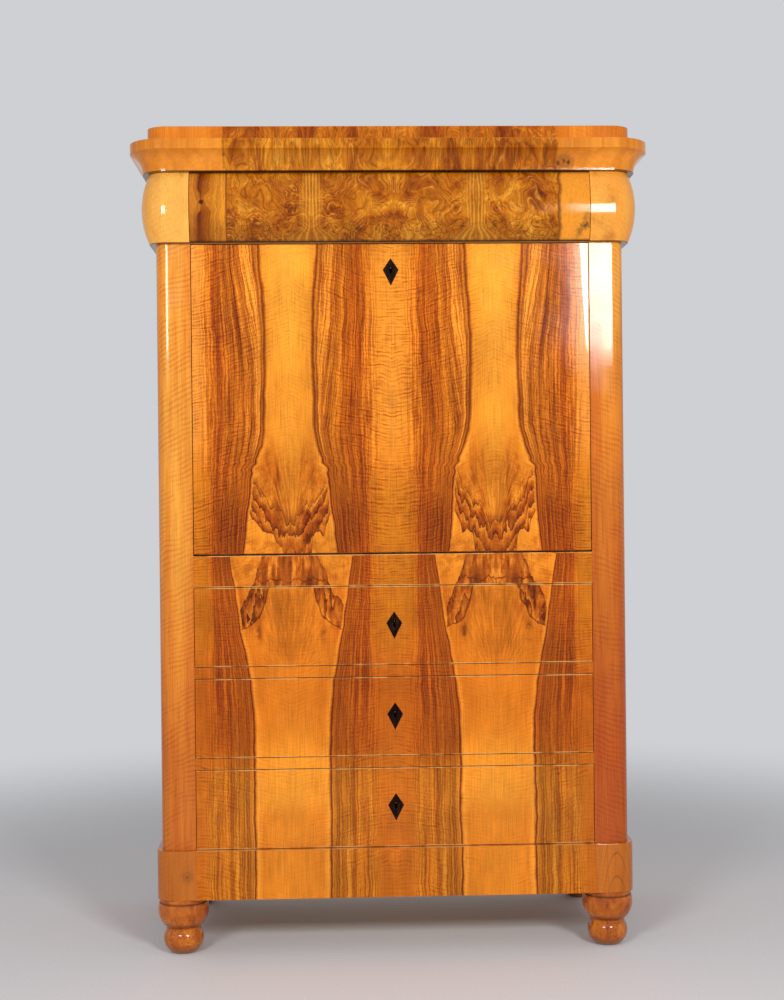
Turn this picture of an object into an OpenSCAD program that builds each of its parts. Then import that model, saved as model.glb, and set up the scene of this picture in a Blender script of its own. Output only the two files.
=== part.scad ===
/* [Carcass] */
// Width over the corner posts
body_w = 900; // [800:1:1100]
// Depth from the faces of the posts to the back
body_d = 450; // [430:1:600]
// Width of each corner post on the front
post_w = 67; // [60:1:90]
// Depth of each corner post
post_d = 60; // [40:1:80]
// Radius of the rounded outer corner of the posts
corner_r = 24; // [15:1:35]
// Thickness of the side panels
side_t = 22; // [16:1:28]
// Thickness of the back boards
back_t = 12; // [8:1:18]
// Number of upright boards in the back
back_boards_n = 5; // [3:1:8]
// Thickness of the bottom board and the top board
board_t = 20; // [15:1:25]

/* [Plinth and feet] */
// Height of the turned feet
foot_h = 109; // [105:1:140]
// Height of the plinth
plinth_h = 94; // [70:1:130]
// How far the plinth stands out in front of the posts
plinth_out = 9.5; // [5:0.5:15]
// Thickness of the plinth boards
plinth_t = 20; // [16:0.5:24]
// Diameter of the bulb of a foot
foot_bulb_d = 98; // [94:1:110]
// Diameter of the neck of a foot
foot_neck_d = 67; // [62:1:70]
// Diameter of the ball of a foot
foot_ball_d = 77; // [74:1:82]
// Diameter of the ring on top of a foot
foot_ring_d = 93; // [88:1:94]
// Thickness of the ring on top of a foot
foot_ring_h = 9; // [6:0.5:12]
// Distance from the posts' faces to the axis of a front foot
foot_inset = 38; // [34:1:45]
// Width of the blocks that hold the feet
foot_block_w = 92; // [80:1:110]

/* [Drawers] */
// Height of each long drawer's opening
cell_h = 153; // [130:0.5:180]
// Height of the rails between the long drawers
rail_h = 21.5; // [18:0.5:30]
// Depth of the rails from front to back
rail_d = 67; // [62:1:90]
// Height of the rail under the fall
fall_rail_h = 60; // [56:1:80]
// Depth of the rail under the fall from front to back
fall_rail_d = 40; // [36:1:55]
// Thickness of the drawer fronts
drawer_front_t = 22; // [18:1:28]
// Thickness of the drawer sides and backs
drawer_side_t = 12; // [8:1:15]
// Thickness of the drawer bottoms
drawer_bottom_t = 8; // [5:1:10]
// Gap between the drawer boxes and the back boards
drawer_back_gap = 36; // [15:1:60]
// Gap round each drawer front
front_gap = 1.2; // [0.8:0.1:2]
// Clearance under and beside the drawer boxes
run_gap = 0.3; // [0.2:0.05:0.6]
// Width of the ledge of a runner under a drawer side
runner_ledge_w = 33; // [25:1:45]
// Height of the guide strips beside the drawers
guide_h = 25; // [15:1:40]

/* [Fall front] */
// Height of the opening behind the fall front
fall_opening_h = 597; // [540:1:700]
// Thickness of the fall front
fall_t = 25; // [22:0.5:28]
// Gap between the fall front and the rail under it
fall_sill_gap = 2.2; // [2:0.1:3]
// Gap between the fall front and the board above it
fall_top_gap = 2; // [1.5:0.1:3]
// Gap at each side of the fall front
fall_side_gap = 1.5; // [1:0.1:2.5]
// Distance from the front face of the fall to its pivot
pivot_back = 8; // [7:0.5:10]
// Diameter of the pivot pins
pin_d = 6; // [5:0.5:7]
// Radial clearance of the pivot pins
pin_clear = 0.05; // [0.02:0.01:0.1]
// Width of the hinge plates
hinge_w = 12; // [11:0.5:13]
// Thickness of the hinge plates
hinge_t = 4; // [3:0.5:5]
// Length of the hinge leaf let into the end of the fall
hinge_leaf_l = 52; // [40:1:70]
// Length of the writing leather
leather_w = 640; // [500:1:660]
// Gap between the writing leather and the lock case above it
leather_lock_gap = 27.8; // [15.8:1:100.8]
// Thickness of the writing leather
leather_t = 1.5; // [1:0.1:2]
// Distance from the edge of the leather to the pivot end of the fall
leather_up = 95; // [70:1:110]

/* [Stays] */
// Radius of the middle of the quadrant stays
stay_r = 149; // [140:1:155]
// Width of the quadrant strip
stay_w = 12; // [10.5:0.5:14]
// Thickness of the quadrant strip
stay_t = 3; // [2:0.5:4]
// Gap between the quadrant strip and the compartment side
stay_off = 4; // [3:0.5:6]
// Diameter of the stay pins
stay_pin_d = 6; // [5:0.5:6.5]
// Clearance round a stay pin in the slot
stay_clear = 0.3; // [0.2:0.05:0.5]
// Angle of the stay pins behind the upright through the pivot
stay_pin_angle = 12; // [11:1:16]

/* [Frieze and cornice] */
// Height of the bulged frieze
frieze_h = 134; // [120:1:160]
// How far the edges of the frieze stand out
frieze_edge_out = 12; // [9:0.5:16]
// Further rise of the bulge in the middle of the frieze
frieze_bulge = 15; // [8:0.5:20]
// Depth of the frieze drawer front behind the posts' faces
frieze_front_t = 17; // [14:1:22]
// Height of the cove of the cornice
cove_h = 38; // [30:1:50]
// How far the foot of the cove stands out
cove_foot_out = 24; // [20:0.5:28]
// How far the edge of the cornice stands out
cornice_out = 48; // [42:1:60]
// Height of the flat edge of the cornice
band_h = 19; // [14:1:26]
// How far the cornice reaches inward over the carcass
cornice_in = 10; // [6:1:12]
// Half the length of the figured middle of the cornice
cornice_joint_x = 318; // [250:1:360]
// How far the top slab stands out
slab_out = 14; // [10:0.5:20]
// Thickness of the top slab
slab_h = 30; // [22:1:40]

/* [Locks] */
// Width of the escutcheons
escutcheon_w = 30; // [24:1:36]
// Height of the escutcheons
escutcheon_h = 52; // [44:1:60]
// Thickness of the escutcheons
escutcheon_t = 2.4; // [2:0.1:3]
// How far the escutcheons stand proud of the veneer
escutcheon_proud = 0.8; // [0.4:0.1:1.2]
// Distance from the top edge of the fall to its keyhole
fall_key_down = 46; // [38:1:60]
// Diameter of the round part of a keyhole
key_d = 6.4; // [5:0.1:7]
// Length of the slot of a keyhole below its round part
key_slot_h = 11; // [8:0.5:13]
// Width of the lock cases
lock_w = 76; // [60:1:90]
// Thickness of the lock cases
lock_t = 11; // [10:0.5:13]
// How far the lock cases reach below the keyhole
lock_below = 24; // [18:1:30]
// Width of the lock bolts
bolt_w = 24; // [16:1:30]
// Thickness of the lock bolts
bolt_t = 6; // [4:0.5:7]
// Length of the lock bolts
bolt_l = 30; // [22:1:34]
// Travel of the lock bolts
bolt_travel = 10; // [7:0.5:12]
// Clearance round a lock bolt
bolt_clear = 0.3; // [0.2:0.05:0.5]

/* [Writing compartment] */
// Thickness of the compartment sides
lining_t = 12; // [10:1:15]
// Distance from the inner face of the fall to the gallery
gallery_setback = 150; // [145:1:170]
// Thickness of the gallery boards
gallery_t = 9; // [6:0.5:12]
// Thickness of the end boards of the gallery
gallery_end_t = 15; // [14:1:20]
// Half the distance between the uprights of the middle niche
niche_half = 125; // [100:1:150]
// Height of each small drawer's opening
small_cell_h = 88; // [70:1:95]
// Height of the pigeonholes under the ceiling
pigeonhole_h = 141; // [110:1:160]
// Number of pigeonholes
pigeonholes_n = 6; // [3:1:8]
// Thickness of the small drawer fronts
small_front_t = 12; // [10:1:15]
// Thickness of the small drawer sides and backs
small_side_t = 7; // [5:0.5:9]
// Thickness of the small drawer bottoms
small_bottom_t = 4; // [3:0.5:6]
// Gap between the small drawer boxes and the back boards
small_back_gap = 26; // [10:1:50]
// Diameter of the small drawer knobs
knob_d = 15; // [12:0.5:18]
// How far the knobs stand out
knob_out = 16; // [13:0.5:18]

/* [Hidden] */
$fn = 96;

// Finishes of the wood and the fittings
veneer = "#cf7f2c";
burl = "#a8692a";
softwood = "#c9a36a";
interior_wood = "#dcae6c";
brass = "#b98f45";
iron = "#5a5652";
ebonised_wood = "#2a211b";
leather = "#3f5a3a";

// How far a cutting shape runs past the face that it cuts
over = 1;
// Hairline joint between the boards of one piece
seam = 0.1;

// Plan: the origin is under the middle of the whole, and the front faces -Y
front_y = (cornice_out - body_d) / 2;
back_y = front_y + body_d;
back_in_y = back_y - back_t;
half_w = body_w / 2;
open_x = half_w - post_w;
side_in_x = half_w - side_t;
post_back_y = front_y + post_d;
rail_back_y = front_y + rail_d;
corner_x = half_w - corner_r;
corner_y = front_y + corner_r;

// Heights from the floor up, with drawer 1 as the highest of the long drawers
plinth_top = foot_h + plinth_h;
function cell_z(n) = plinth_top + (3 - n) * (cell_h + rail_h);
fall_rail_z = cell_z(1) + cell_h;
sill_z = fall_rail_z + fall_rail_h;
ceiling_z = sill_z + fall_opening_h;
ceiling_top = ceiling_z + board_t;
frieze_top = ceiling_z + frieze_h;
slab_z = frieze_top + cove_h + band_h;

// The fall front, whose pivot lies as far from its inner face as from its lower end,
// so that it opens flush with the desk board
fall_w = 2 * (open_x - fall_side_gap);
fall_z = sill_z + fall_sill_gap;
fall_top = ceiling_z - fall_top_gap;
fall_in_y = front_y + fall_t;
pivot_in = fall_t - pivot_back;
pivot_y = front_y + pivot_back;
pivot_z = fall_z + pivot_in;
desk_top = pivot_z + pivot_in;
hinge_plate_h = 32;

// The compartment behind the fall
gallery_x = open_x - lining_t;
gallery_in_x = gallery_x - gallery_end_t;
gallery_y = fall_in_y + gallery_setback;
top_shelf_z = ceiling_z - pigeonhole_h - gallery_t;
niche_in_x = niche_half - gallery_t / 2;
niche_out_x = niche_half + gallery_t / 2;
lining_y = fall_in_y + run_gap;

// Stays: angles are counted up from the level line behind the pivot
upright = 90;
fall_opens = 90;
stay_x = gallery_x - stay_off;
stay_slot_to = upright - stay_pin_angle;
stay_slot_from = stay_slot_to - fall_opens;
stay_slot_half = stay_pin_d / 2 + stay_clear;
stay_tail = 5;
stay_foot_w = 15;
stay_foot_t = 2.5;
stay_foot_h = 58;
stay_pin_tenon = 8;
stay_pin_head_t = 2;
stay_pin_head_d = stay_pin_d + 4.4;
stay_passage = 2;

// Long drawers
drawer_x = open_x - front_gap;
drawer_in_y = front_y + drawer_front_t;
drawer_back_y = back_in_y - drawer_back_gap;
box_headroom = 10;
bottom_up = 4;

// Locks and escutcheons: the keyhole lies above the middle of the diamond
key_share_above = 0.35;
wide_share_below = 0.07;
key_rise = (0.5 - key_share_above) * escutcheon_h;
key_slot_w = 0.7 * key_d;
bolt_below = 0.5;
lock_back_wall = 2;
fall_key_z = fall_top - fall_key_down;
function key_z(n) = cell_z(n) + cell_h / 2 + key_rise;
function front_top(n) = cell_z(n) + cell_h - front_gap;

// Small drawers: odd numbers on the left, 1 and 2 above 3 and 4
small_top_gap = 1;
small_headroom = 6;
small_bottom_up = 2;
small_x0 = niche_out_x + run_gap;
small_x1 = gallery_in_x - run_gap;
function small_z(n) = desk_top + run_gap + (n <= 2 ? small_cell_h + gallery_t : 0);

module at_both_sides() {
  children();
  mirror([1, 0, 0]) children();
}

// A block between two x, two y and two z values
module block(x, y, z) {
  translate([x[0], y[0], z[0]]) cube([x[1] - x[0], y[1] - y[0], z[1] - z[0]]);
}

// Outline of the body seen from above, grown by out at the front and the sides
module plan(out, past_back = 0) {
  reach = back_y + past_back;
  translate([-corner_x, front_y - out]) square([2 * corner_x, reach - front_y + out]);
  translate([-half_w - out, corner_y]) square([body_w + 2 * out, reach - corner_y]);
  for (x = [-corner_x, corner_x]) translate([x, corner_y]) circle(r = corner_r + out);
}

// Runs of a moulding, whose section has the way out from the corner's centre as x and up as y
module front_run(x0, x1) {
  translate([x1, corner_y, 0]) rotate([90, 0, -90]) linear_extrude(x1 - x0) children();
}

module corner_turn() {
  translate([corner_x, corner_y, 0]) rotate([0, 0, -90]) rotate_extrude(angle = 90) children();
}

module side_run() {
  translate([corner_x, back_y, 0]) rotate([90, 0, 0]) linear_extrude(back_y - corner_y) children();
}

// Bulged frieze, from an inner face outward
module frieze_section(inner) {
  crown = corner_r + frieze_edge_out + frieze_bulge;
  bulge_r = (pow(frieze_h / 2, 2) + pow(frieze_bulge, 2)) / (2 * frieze_bulge);
  intersection() {
    translate([inner, ceiling_z]) square([crown - inner, frieze_h]);
    translate([crown - bulge_r, ceiling_z + frieze_h / 2]) circle(r = bulge_r);
  }
}

// Cove under a flat edge, hollowed by a circle whose middle is level with the cove's foot
module cornice_section() {
  inner = corner_r - cornice_in;
  cove_out = cornice_out - cove_foot_out;
  cove_r = (pow(cove_out, 2) + pow(cove_h, 2)) / (2 * cove_out);
  difference() {
    translate([inner, frieze_top]) square([corner_r + cornice_out - inner, cove_h + band_h]);
    translate([corner_r + cove_foot_out + cove_r, frieze_top]) circle(r = cove_r);
  }
}

module top_slab() {
  color(veneer) translate([0, 0, slab_z]) linear_extrude(slab_h) plan(slab_out);
}

module cornice_front() {
  color(burl) front_run(-cornice_joint_x, cornice_joint_x) cornice_section();
}

module cornice_returns() {
  color(veneer) at_both_sides() {
    front_run(cornice_joint_x, corner_x) cornice_section();
    corner_turn() cornice_section();
    side_run() cornice_section();
  }
}

// Top board inside the cornice, and the batten that closes the cornice at the back
module carcass_top() {
  batten_d = 25;
  x = half_w - cornice_in;
  color(softwood) {
    translate([0, 0, frieze_top]) linear_extrude(board_t) plan(-cornice_in);
    block([-x, x], [back_y - batten_d, back_y], [frieze_top + board_t + seam, slab_z]);
  }
}

module frieze_end() {
  color(veneer) {
    front_run(open_x, corner_x) frieze_section(0);
    corner_turn() frieze_section(0);
    side_run() frieze_section(side_in_x - corner_x);
    block([open_x, side_in_x], [corner_y, post_back_y], [ceiling_z, frieze_top]);
  }
}

module corner_post() {
  color(veneer) difference() {
    translate([0, 0, plinth_top]) linear_extrude(ceiling_z - plinth_top) intersection() {
      plan(0);
      translate([open_x, front_y - over]) square([post_w + over, post_d + over]);
    }
    hinge_plate_space(over);
  }
}

module side_panel() {
  color(veneer) block([side_in_x, half_w], [post_back_y, back_y], [plinth_top, ceiling_z]);
}

module back_boards() {
  board_w = 2 * side_in_x / back_boards_n;
  color(softwood) for (i = [0 : back_boards_n - 1]) {
    x = -side_in_x + i * board_w;
    block([x + seam, x + board_w - seam], [back_in_y, back_y], [plinth_top, frieze_top]);
  }
}

// Board that runs between the posts at the front and between the sides behind them
module deck(y0, z) {
  block([-open_x, open_x], [y0, post_back_y + over], z);
  block([-side_in_x, side_in_x], [post_back_y, back_in_y], z);
}

// Recess that takes a thrown bolt, cut up into the underside of a rail or board
module strike(y, z) {
  room = 1;
  x = bolt_w / 2 + room;
  d = bolt_t / 2 + room;
  block([-x, x], [y - d, y + d], [z - over, z + bolt_travel]);
}

module ceiling_board() {
  color(interior_wood) difference() {
    deck(front_y + run_gap, [ceiling_z, ceiling_top]);
    strike(fall_in_y - lock_t / 2, ceiling_z);
  }
}

// Floor of the compartment, hollowed in front for the turning end of the fall
module desk_board() {
  slot_x = [stay_x - stay_t - stay_passage, stay_x + stay_passage];
  slot_y = [pivot_y + stay_r - stay_w, pivot_y + stay_r + stay_w / 2 + stay_passage];
  color(interior_wood) difference() {
    deck(lining_y, [sill_z, desk_top]);
    translate([-half_w, pivot_y, pivot_z]) rotate([0, 90, 0])
      cylinder(r = pivot_in * sqrt(2) + run_gap, h = body_w);
    at_both_sides() block(slot_x, slot_y, [sill_z - over, desk_top + over]);
  }
}

module fall_rail() {
  color(veneer) difference() {
    block([-open_x, open_x], [front_y, front_y + fall_rail_d], [fall_rail_z, sill_z]);
    strike(drawer_in_y - lock_t / 2, fall_rail_z);
  }
}

module drawer_rails() {
  color(veneer) for (n = [2, 3]) {
    z = cell_z(n) + cell_h;
    difference() {
      block([-open_x, open_x], [front_y, rail_back_y], [z, z + rail_h]);
      strike(drawer_in_y - lock_t / 2, z);
    }
  }
}

// Runners under the drawer sides, guide strips beside them, and bearers of the desk board
module drawer_runners() {
  bearer_x = open_x + 10;
  runner_z = [for (n = [1 : 3]) cell_z(n) + cell_h];
  guide_z = concat([for (n = [1 : 3]) cell_z(n)], [ceiling_top]);
  color(softwood) at_both_sides() {
    for (z = runner_z)
      block([open_x - runner_ledge_w, side_in_x], [rail_back_y, back_in_y], [z, z + rail_h]);
    for (z = guide_z)
      block([open_x, side_in_x], [rail_back_y, back_in_y], [z + seam, z + guide_h]);
    block([bearer_x, side_in_x], [rail_back_y, back_in_y], [fall_rail_z + rail_h + seam, sill_z]);
  }
}

module base_board() {
  color(softwood) translate([0, 0, plinth_top - board_t])
    linear_extrude(board_t) plan(plinth_out - plinth_t);
}

module plinth_front() {
  y = front_y - plinth_out;
  color(veneer) block([-open_x, open_x], [y, y + plinth_t], [foot_h, plinth_top]);
}

module plinth_sides() {
  y = front_y - plinth_out - over;
  color(veneer) at_both_sides() translate([0, 0, foot_h]) linear_extrude(plinth_h) intersection() {
    difference() {
      plan(plinth_out);
      plan(plinth_out - plinth_t, over);
    }
    translate([open_x, y]) square([half_w, back_y + over - y]);
  }
}

module foot_blocks() {
  x = half_w + plinth_out - plinth_t - foot_block_w;
  front = front_y - plinth_out + plinth_t;
  h = plinth_h - board_t;
  color(softwood) at_both_sides() translate([0, 0, foot_h]) linear_extrude(h) intersection() {
    plan(plinth_out - plinth_t);
    for (y = [front, back_y - foot_block_w]) translate([x, y]) square(foot_block_w);
  }
}

// Turned foot: a flattened ball, a neck, a bulb and a ring above a groove
module foot(y) {
  ball_arc = 30;
  ball_z = 28;
  bulb_arc = 43;
  bulb_down = 25;
  bulb_z = foot_h - bulb_down;
  groove = 2;
  groove_z = foot_h - foot_ring_h - groove;
  translate([half_w - foot_inset, y, 0]) rotate_extrude() {
    intersection() {
      union() {
        translate([foot_bulb_d / 2 - bulb_arc, bulb_z]) circle(r = bulb_arc);
        translate([foot_ball_d / 2 - ball_arc, ball_z]) circle(r = ball_arc);
        translate([0, ball_z]) square([foot_neck_d / 2, bulb_z - ball_z]);
      }
      square([foot_bulb_d, groove_z]);
    }
    translate([0, groove_z]) square([foot_ring_d / 2 - groove, groove]);
    translate([0, groove_z + groove]) square([foot_ring_d / 2, foot_ring_h]);
  }
}

module feet(y) {
  color(veneer) at_both_sides() foot(y);
}

module compartment_sides() {
  color(interior_wood) difference() {
    at_both_sides() block([gallery_x, open_x], [lining_y, back_in_y], [desk_top, ceiling_z]);
    at_both_sides() at_stay_pin(gallery_x - over)
      cylinder(r = stay_pin_d / 2 + pin_clear, h = stay_pin_tenon + over);
  }
}

// Frame whose z runs outward along the axis of the right-hand stay pin, from a given x
module at_stay_pin(x) {
  y = pivot_y + stay_r * cos(stay_slot_to);
  z = pivot_z + stay_r * sin(stay_slot_to);
  translate([x, y, z]) rotate([0, 90, 0]) children();
}

// Headed pins in the compartment sides, with a collar that keeps each quadrant off the wood
module stay_pins() {
  collar_x = stay_x + stay_clear;
  head_x = stay_x - stay_t - stay_clear - stay_pin_head_t;
  color(iron) at_both_sides() {
    at_stay_pin(head_x) cylinder(d = stay_pin_d, h = gallery_x + stay_pin_tenon - pin_clear - head_x);
    at_stay_pin(head_x) cylinder(d = stay_pin_head_d, h = stay_pin_head_t);
    at_stay_pin(collar_x) cylinder(d = stay_pin_head_d, h = gallery_x - collar_x);
  }
}

module hinge_plate_space(past_face) {
  y = [pivot_y - hinge_w / 2, pivot_y + hinge_w / 2];
  z = [pivot_z - hinge_plate_h / 2, pivot_z + hinge_plate_h / 2];
  block([open_x - past_face, open_x + hinge_t], y, z);
}

module post_hinge_plates() {
  color(brass) difference() {
    at_both_sides() hinge_plate_space(0);
    translate([-half_w, pivot_y, pivot_z]) rotate([0, 90, 0])
      cylinder(r = pin_d / 2 + pin_clear, h = body_w);
  }
}

module gallery_uprights() {
  y = [gallery_y, back_in_y];
  hole_w = 2 * gallery_in_x / pigeonholes_n;
  color(interior_wood) {
    at_both_sides() block([gallery_in_x, gallery_x], y, [desk_top, ceiling_z]);
    at_both_sides() block([niche_in_x, niche_out_x], y, [desk_top, top_shelf_z]);
    for (i = [1 : pigeonholes_n - 1]) {
      x = -gallery_in_x + i * hole_w - gallery_t / 2;
      block([x, x + gallery_t], y, [top_shelf_z + gallery_t, ceiling_z]);
    }
  }
}

module gallery_shelves() {
  y = [gallery_y, back_in_y];
  side_z = [for (i = [1, 2]) desk_top + i * small_cell_h + (i - 1) * gallery_t];
  color(interior_wood) {
    block([-gallery_in_x, gallery_in_x], y, [top_shelf_z, top_shelf_z + gallery_t]);
    at_both_sides() for (z = side_z) block([niche_out_x, gallery_in_x], y, [z, z + gallery_t]);
  }
}

// Side view of the fall, whose lower front edge is rounded about the pivot
module fall_section() {
  translate([front_y, pivot_z]) square([fall_t, fall_top - pivot_z]);
  translate([pivot_y, fall_z]) square(pivot_in);
  intersection() {
    translate([pivot_y, pivot_z]) circle(r = pivot_in);
    translate([front_y, fall_z]) square([fall_t, pivot_in]);
  }
}

module fall_leaf_space(past_end) {
  y = [pivot_y - hinge_w / 2, pivot_y + hinge_w / 2];
  z = [pivot_z - hinge_w, pivot_z - hinge_w + hinge_leaf_l];
  block([fall_w / 2 - hinge_t, fall_w / 2 + past_end], y, z);
}

module leather_space(past_face) {
  z = [fall_z + leather_up, fall_key_z - lock_below - leather_lock_gap];
  block([-leather_w / 2, leather_w / 2], [fall_in_y - leather_t, fall_in_y + past_face], z);
}

module fall_panel() {
  color(veneer) difference() {
    rotate([90, 0, 90]) linear_extrude(fall_w, center = true) fall_section();
    at_both_sides() fall_leaf_space(over);
    leather_space(over);
    lock_space(fall_top, fall_key_z, fall_in_y, over);
    escutcheon_space(fall_key_z);
    keyhole(fall_key_z, fall_in_y);
  }
}

module fall_hinge_leaves() {
  color(brass) at_both_sides() {
    fall_leaf_space(0);
    translate([fall_w / 2 - hinge_t, pivot_y, pivot_z]) rotate([0, 90, 0])
      cylinder(d = pin_d, h = fall_side_gap + 2 * hinge_t - run_gap);
  }
}

// Slotted quadrant on a foot plate, which is screwed to the inner face of the fall
module stay_quadrant() {
  tail_angle = stay_slot_from - stay_tail;
  difference() {
    union() {
      in_stay_plane() {
        rotate([0, 0, tail_angle]) rotate_extrude(angle = upright - tail_angle)
          translate([stay_r - stay_w / 2, 0]) square([stay_w, stay_t]);
        rotate([0, 0, tail_angle]) translate([stay_r, 0, 0]) cylinder(d = stay_w, h = stay_t);
      }
      block([stay_x - stay_foot_w, stay_x], [fall_in_y, fall_in_y + stay_foot_t],
        [pivot_z + stay_r - stay_foot_h / 2, pivot_z + stay_r + stay_foot_h / 2]);
    }
    in_stay_plane() stay_slot();
    block([0, half_w], [front_y, fall_in_y], [fall_z, fall_top]);
  }
}

// Frame in the plane of the right-hand quadrant, with its origin on the pivot axis
module in_stay_plane() {
  translate([stay_x - stay_t, pivot_y, pivot_z]) rotate([90, 0, 90]) children();
}

module stay_slot() {
  h = stay_t + 2 * over;
  translate([0, 0, -over]) {
    rotate([0, 0, stay_slot_from]) rotate_extrude(angle = fall_opens)
      translate([stay_r - stay_slot_half, 0]) square([2 * stay_slot_half, h]);
    for (a = [stay_slot_from, stay_slot_to])
      rotate([0, 0, a]) translate([stay_r, 0, 0]) cylinder(r = stay_slot_half, h = h);
  }
}

module stay_quadrants() {
  color(brass) at_both_sides() stay_quadrant();
}

module writing_leather() {
  color(leather) leather_space(0);
}

// Keyhole through everything in front of a given y
module keyhole(z, to_y) {
  from_y = front_y - escutcheon_proud - over;
  translate([0, to_y, z]) rotate([90, 0, 0]) cylinder(d = key_d, h = to_y - from_y);
  block([-key_slot_w / 2, key_slot_w / 2], [from_y, to_y], [z - key_slot_h, z]);
}

// Diamond with its widest point above the middle
module escutcheon_diamond(z, from_y, to_y) {
  top = z + key_share_above * escutcheon_h;
  wide = z - wide_share_below * escutcheon_h;
  half = escutcheon_w / 2;
  translate([0, to_y, 0]) rotate([90, 0, 0]) linear_extrude(to_y - from_y)
    polygon([[0, top], [half, wide], [0, top - escutcheon_h], [-half, wide]]);
}

module escutcheon_space(z) {
  escutcheon_diamond(z, front_y - over, front_y + escutcheon_t - escutcheon_proud);
}

module escutcheon(z) {
  back = front_y + escutcheon_t - escutcheon_proud;
  color(ebonised_wood) difference() {
    escutcheon_diamond(z, front_y - escutcheon_proud, back);
    keyhole(z, back + over);
  }
}

module lock_space(top, z, in_y, past) {
  y = [in_y - lock_t, in_y + past];
  block([-lock_w / 2, lock_w / 2], y, [z - lock_below, top + past]);
}

// Lock let into the inside of a front, open at the top for its bolt
module lock(top, z, in_y) {
  mid = in_y - lock_t / 2;
  x = bolt_w / 2 + bolt_clear;
  d = bolt_t / 2 + bolt_clear;
  floor_z = top - bolt_below - bolt_l - bolt_clear;
  color(brass) difference() {
    lock_space(top, z, in_y, 0);
    block([-x, x], [mid - d, mid + d], [floor_z, top + over]);
    keyhole(z, in_y - lock_back_wall);
  }
}

module bolt(top, in_y) {
  mid = in_y - lock_t / 2;
  head = top - bolt_below;
  color(iron) block([-bolt_w / 2, bolt_w / 2], [mid - bolt_t / 2, mid + bolt_t / 2], [head - bolt_l, head]);
}

// Sides, back and bottom of a drawer as four boards
module box_boards(x, y, z, t, bottom_t, bottom_rise) {
  in_x = [x[0] + t + seam, x[1] - t - seam];
  bottom_z = z[0] + bottom_rise;
  block([x[0], x[0] + t], y, z);
  block([x[1] - t, x[1]], y, z);
  block(in_x, [y[1] - t, y[1]], z);
  block(in_x, [y[0], y[1] - t - seam], [bottom_z, bottom_z + bottom_t]);
}

module drawer_front(n) {
  color(veneer) difference() {
    block([-drawer_x, drawer_x], [front_y, drawer_in_y], [cell_z(n) + front_gap, front_top(n)]);
    lock_space(front_top(n), key_z(n), drawer_in_y, over);
    escutcheon_space(key_z(n));
    keyhole(key_z(n), drawer_in_y);
  }
}

// Box of a long drawer under the top of its opening, which holds it with headroom
module long_box(y0, z0, opening_top) {
  z = [z0 + run_gap, opening_top - box_headroom];
  color(softwood) box_boards([-drawer_x, drawer_x], [y0, drawer_back_y], z,
    drawer_side_t, drawer_bottom_t, bottom_up);
}

// Bulged front with a lip that covers the edge of the board under the drawer
module frieze_front_section() {
  top = frieze_top - front_gap;
  z0 = ceiling_z + front_gap;
  z1 = ceiling_top + front_gap;
  intersection() {
    frieze_section(corner_r);
    translate([0, z0]) square([2 * frieze_h, top - z0]);
  }
  translate([corner_r - frieze_front_t, z1]) square([frieze_front_t, top - z1]);
}

module frieze_drawer_front() {
  color(burl) front_run(-drawer_x, drawer_x) frieze_front_section();
}

module on_small_side(n) {
  mirror([n % 2, 0, 0]) children();
}

module small_drawer(n) {
  z0 = small_z(n);
  x = [small_x0, small_x1];
  front_in_y = gallery_y + small_front_t;
  box_y = [front_in_y + seam, back_in_y - small_back_gap];
  color(interior_wood) on_small_side(n) {
    block(x, [gallery_y, front_in_y], [z0, z0 + small_cell_h - small_top_gap]);
    box_boards(x, box_y, [z0, z0 + small_cell_h - small_headroom],
      small_side_t, small_bottom_t, small_bottom_up);
  }
}

// Turned knob: a shank and a ball that it runs into
module small_knob(n) {
  x = (small_x0 + small_x1) / 2;
  z = small_z(n) + small_cell_h / 2;
  shank_d = knob_d / 2;
  color(ebonised_wood) on_small_side(n) translate([x, gallery_y, z]) rotate([90, 0, 0]) {
    cylinder(d = shank_d, h = knob_out - knob_d / 2);
    translate([0, 0, knob_out - knob_d / 2]) sphere(d = knob_d);
  }
}

top_slab();
cornice_front();
cornice_returns();
carcass_top();
mirror([1, 0, 0]) frieze_end();  // frieze_end_left
frieze_end();  // frieze_end_right
mirror([1, 0, 0]) corner_post();  // corner_post_left
corner_post();  // corner_post_right
mirror([1, 0, 0]) side_panel();  // side_panel_left
side_panel();  // side_panel_right
back_boards();
ceiling_board();
desk_board();
fall_rail();
drawer_rails();
drawer_runners();
base_board();
plinth_front();
plinth_sides();
foot_blocks();
feet(front_y + foot_inset);  // front_feet
feet(back_y - foot_bulb_d / 2);  // rear_feet
compartment_sides();
stay_pins();
post_hinge_plates();
gallery_uprights();
gallery_shelves();
fall_panel();
fall_hinge_leaves();
stay_quadrants();
writing_leather();
lock(fall_top, fall_key_z, fall_in_y);  // fall_lock
escutcheon(fall_key_z);  // fall_escutcheon
bolt(fall_top, fall_in_y);  // fall_bolt
frieze_drawer_front();
long_box(front_y + frieze_front_t, ceiling_top, frieze_top);  // frieze_drawer_box
drawer_front(1);  // drawer_front_1
drawer_front(2);  // drawer_front_2
drawer_front(3);  // drawer_front_3
long_box(drawer_in_y, cell_z(1), cell_z(1) + cell_h);  // drawer_box_1
long_box(drawer_in_y, cell_z(2), cell_z(2) + cell_h);  // drawer_box_2
long_box(drawer_in_y, cell_z(3), cell_z(3) + cell_h);  // drawer_box_3
lock(front_top(1), key_z(1), drawer_in_y);  // drawer_lock_1
lock(front_top(2), key_z(2), drawer_in_y);  // drawer_lock_2
lock(front_top(3), key_z(3), drawer_in_y);  // drawer_lock_3
bolt(front_top(1), drawer_in_y);  // drawer_bolt_1
bolt(front_top(2), drawer_in_y);  // drawer_bolt_2
bolt(front_top(3), drawer_in_y);  // drawer_bolt_3
escutcheon(key_z(1));  // drawer_escutcheon_1
escutcheon(key_z(2));  // drawer_escutcheon_2
escutcheon(key_z(3));  // drawer_escutcheon_3
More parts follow.
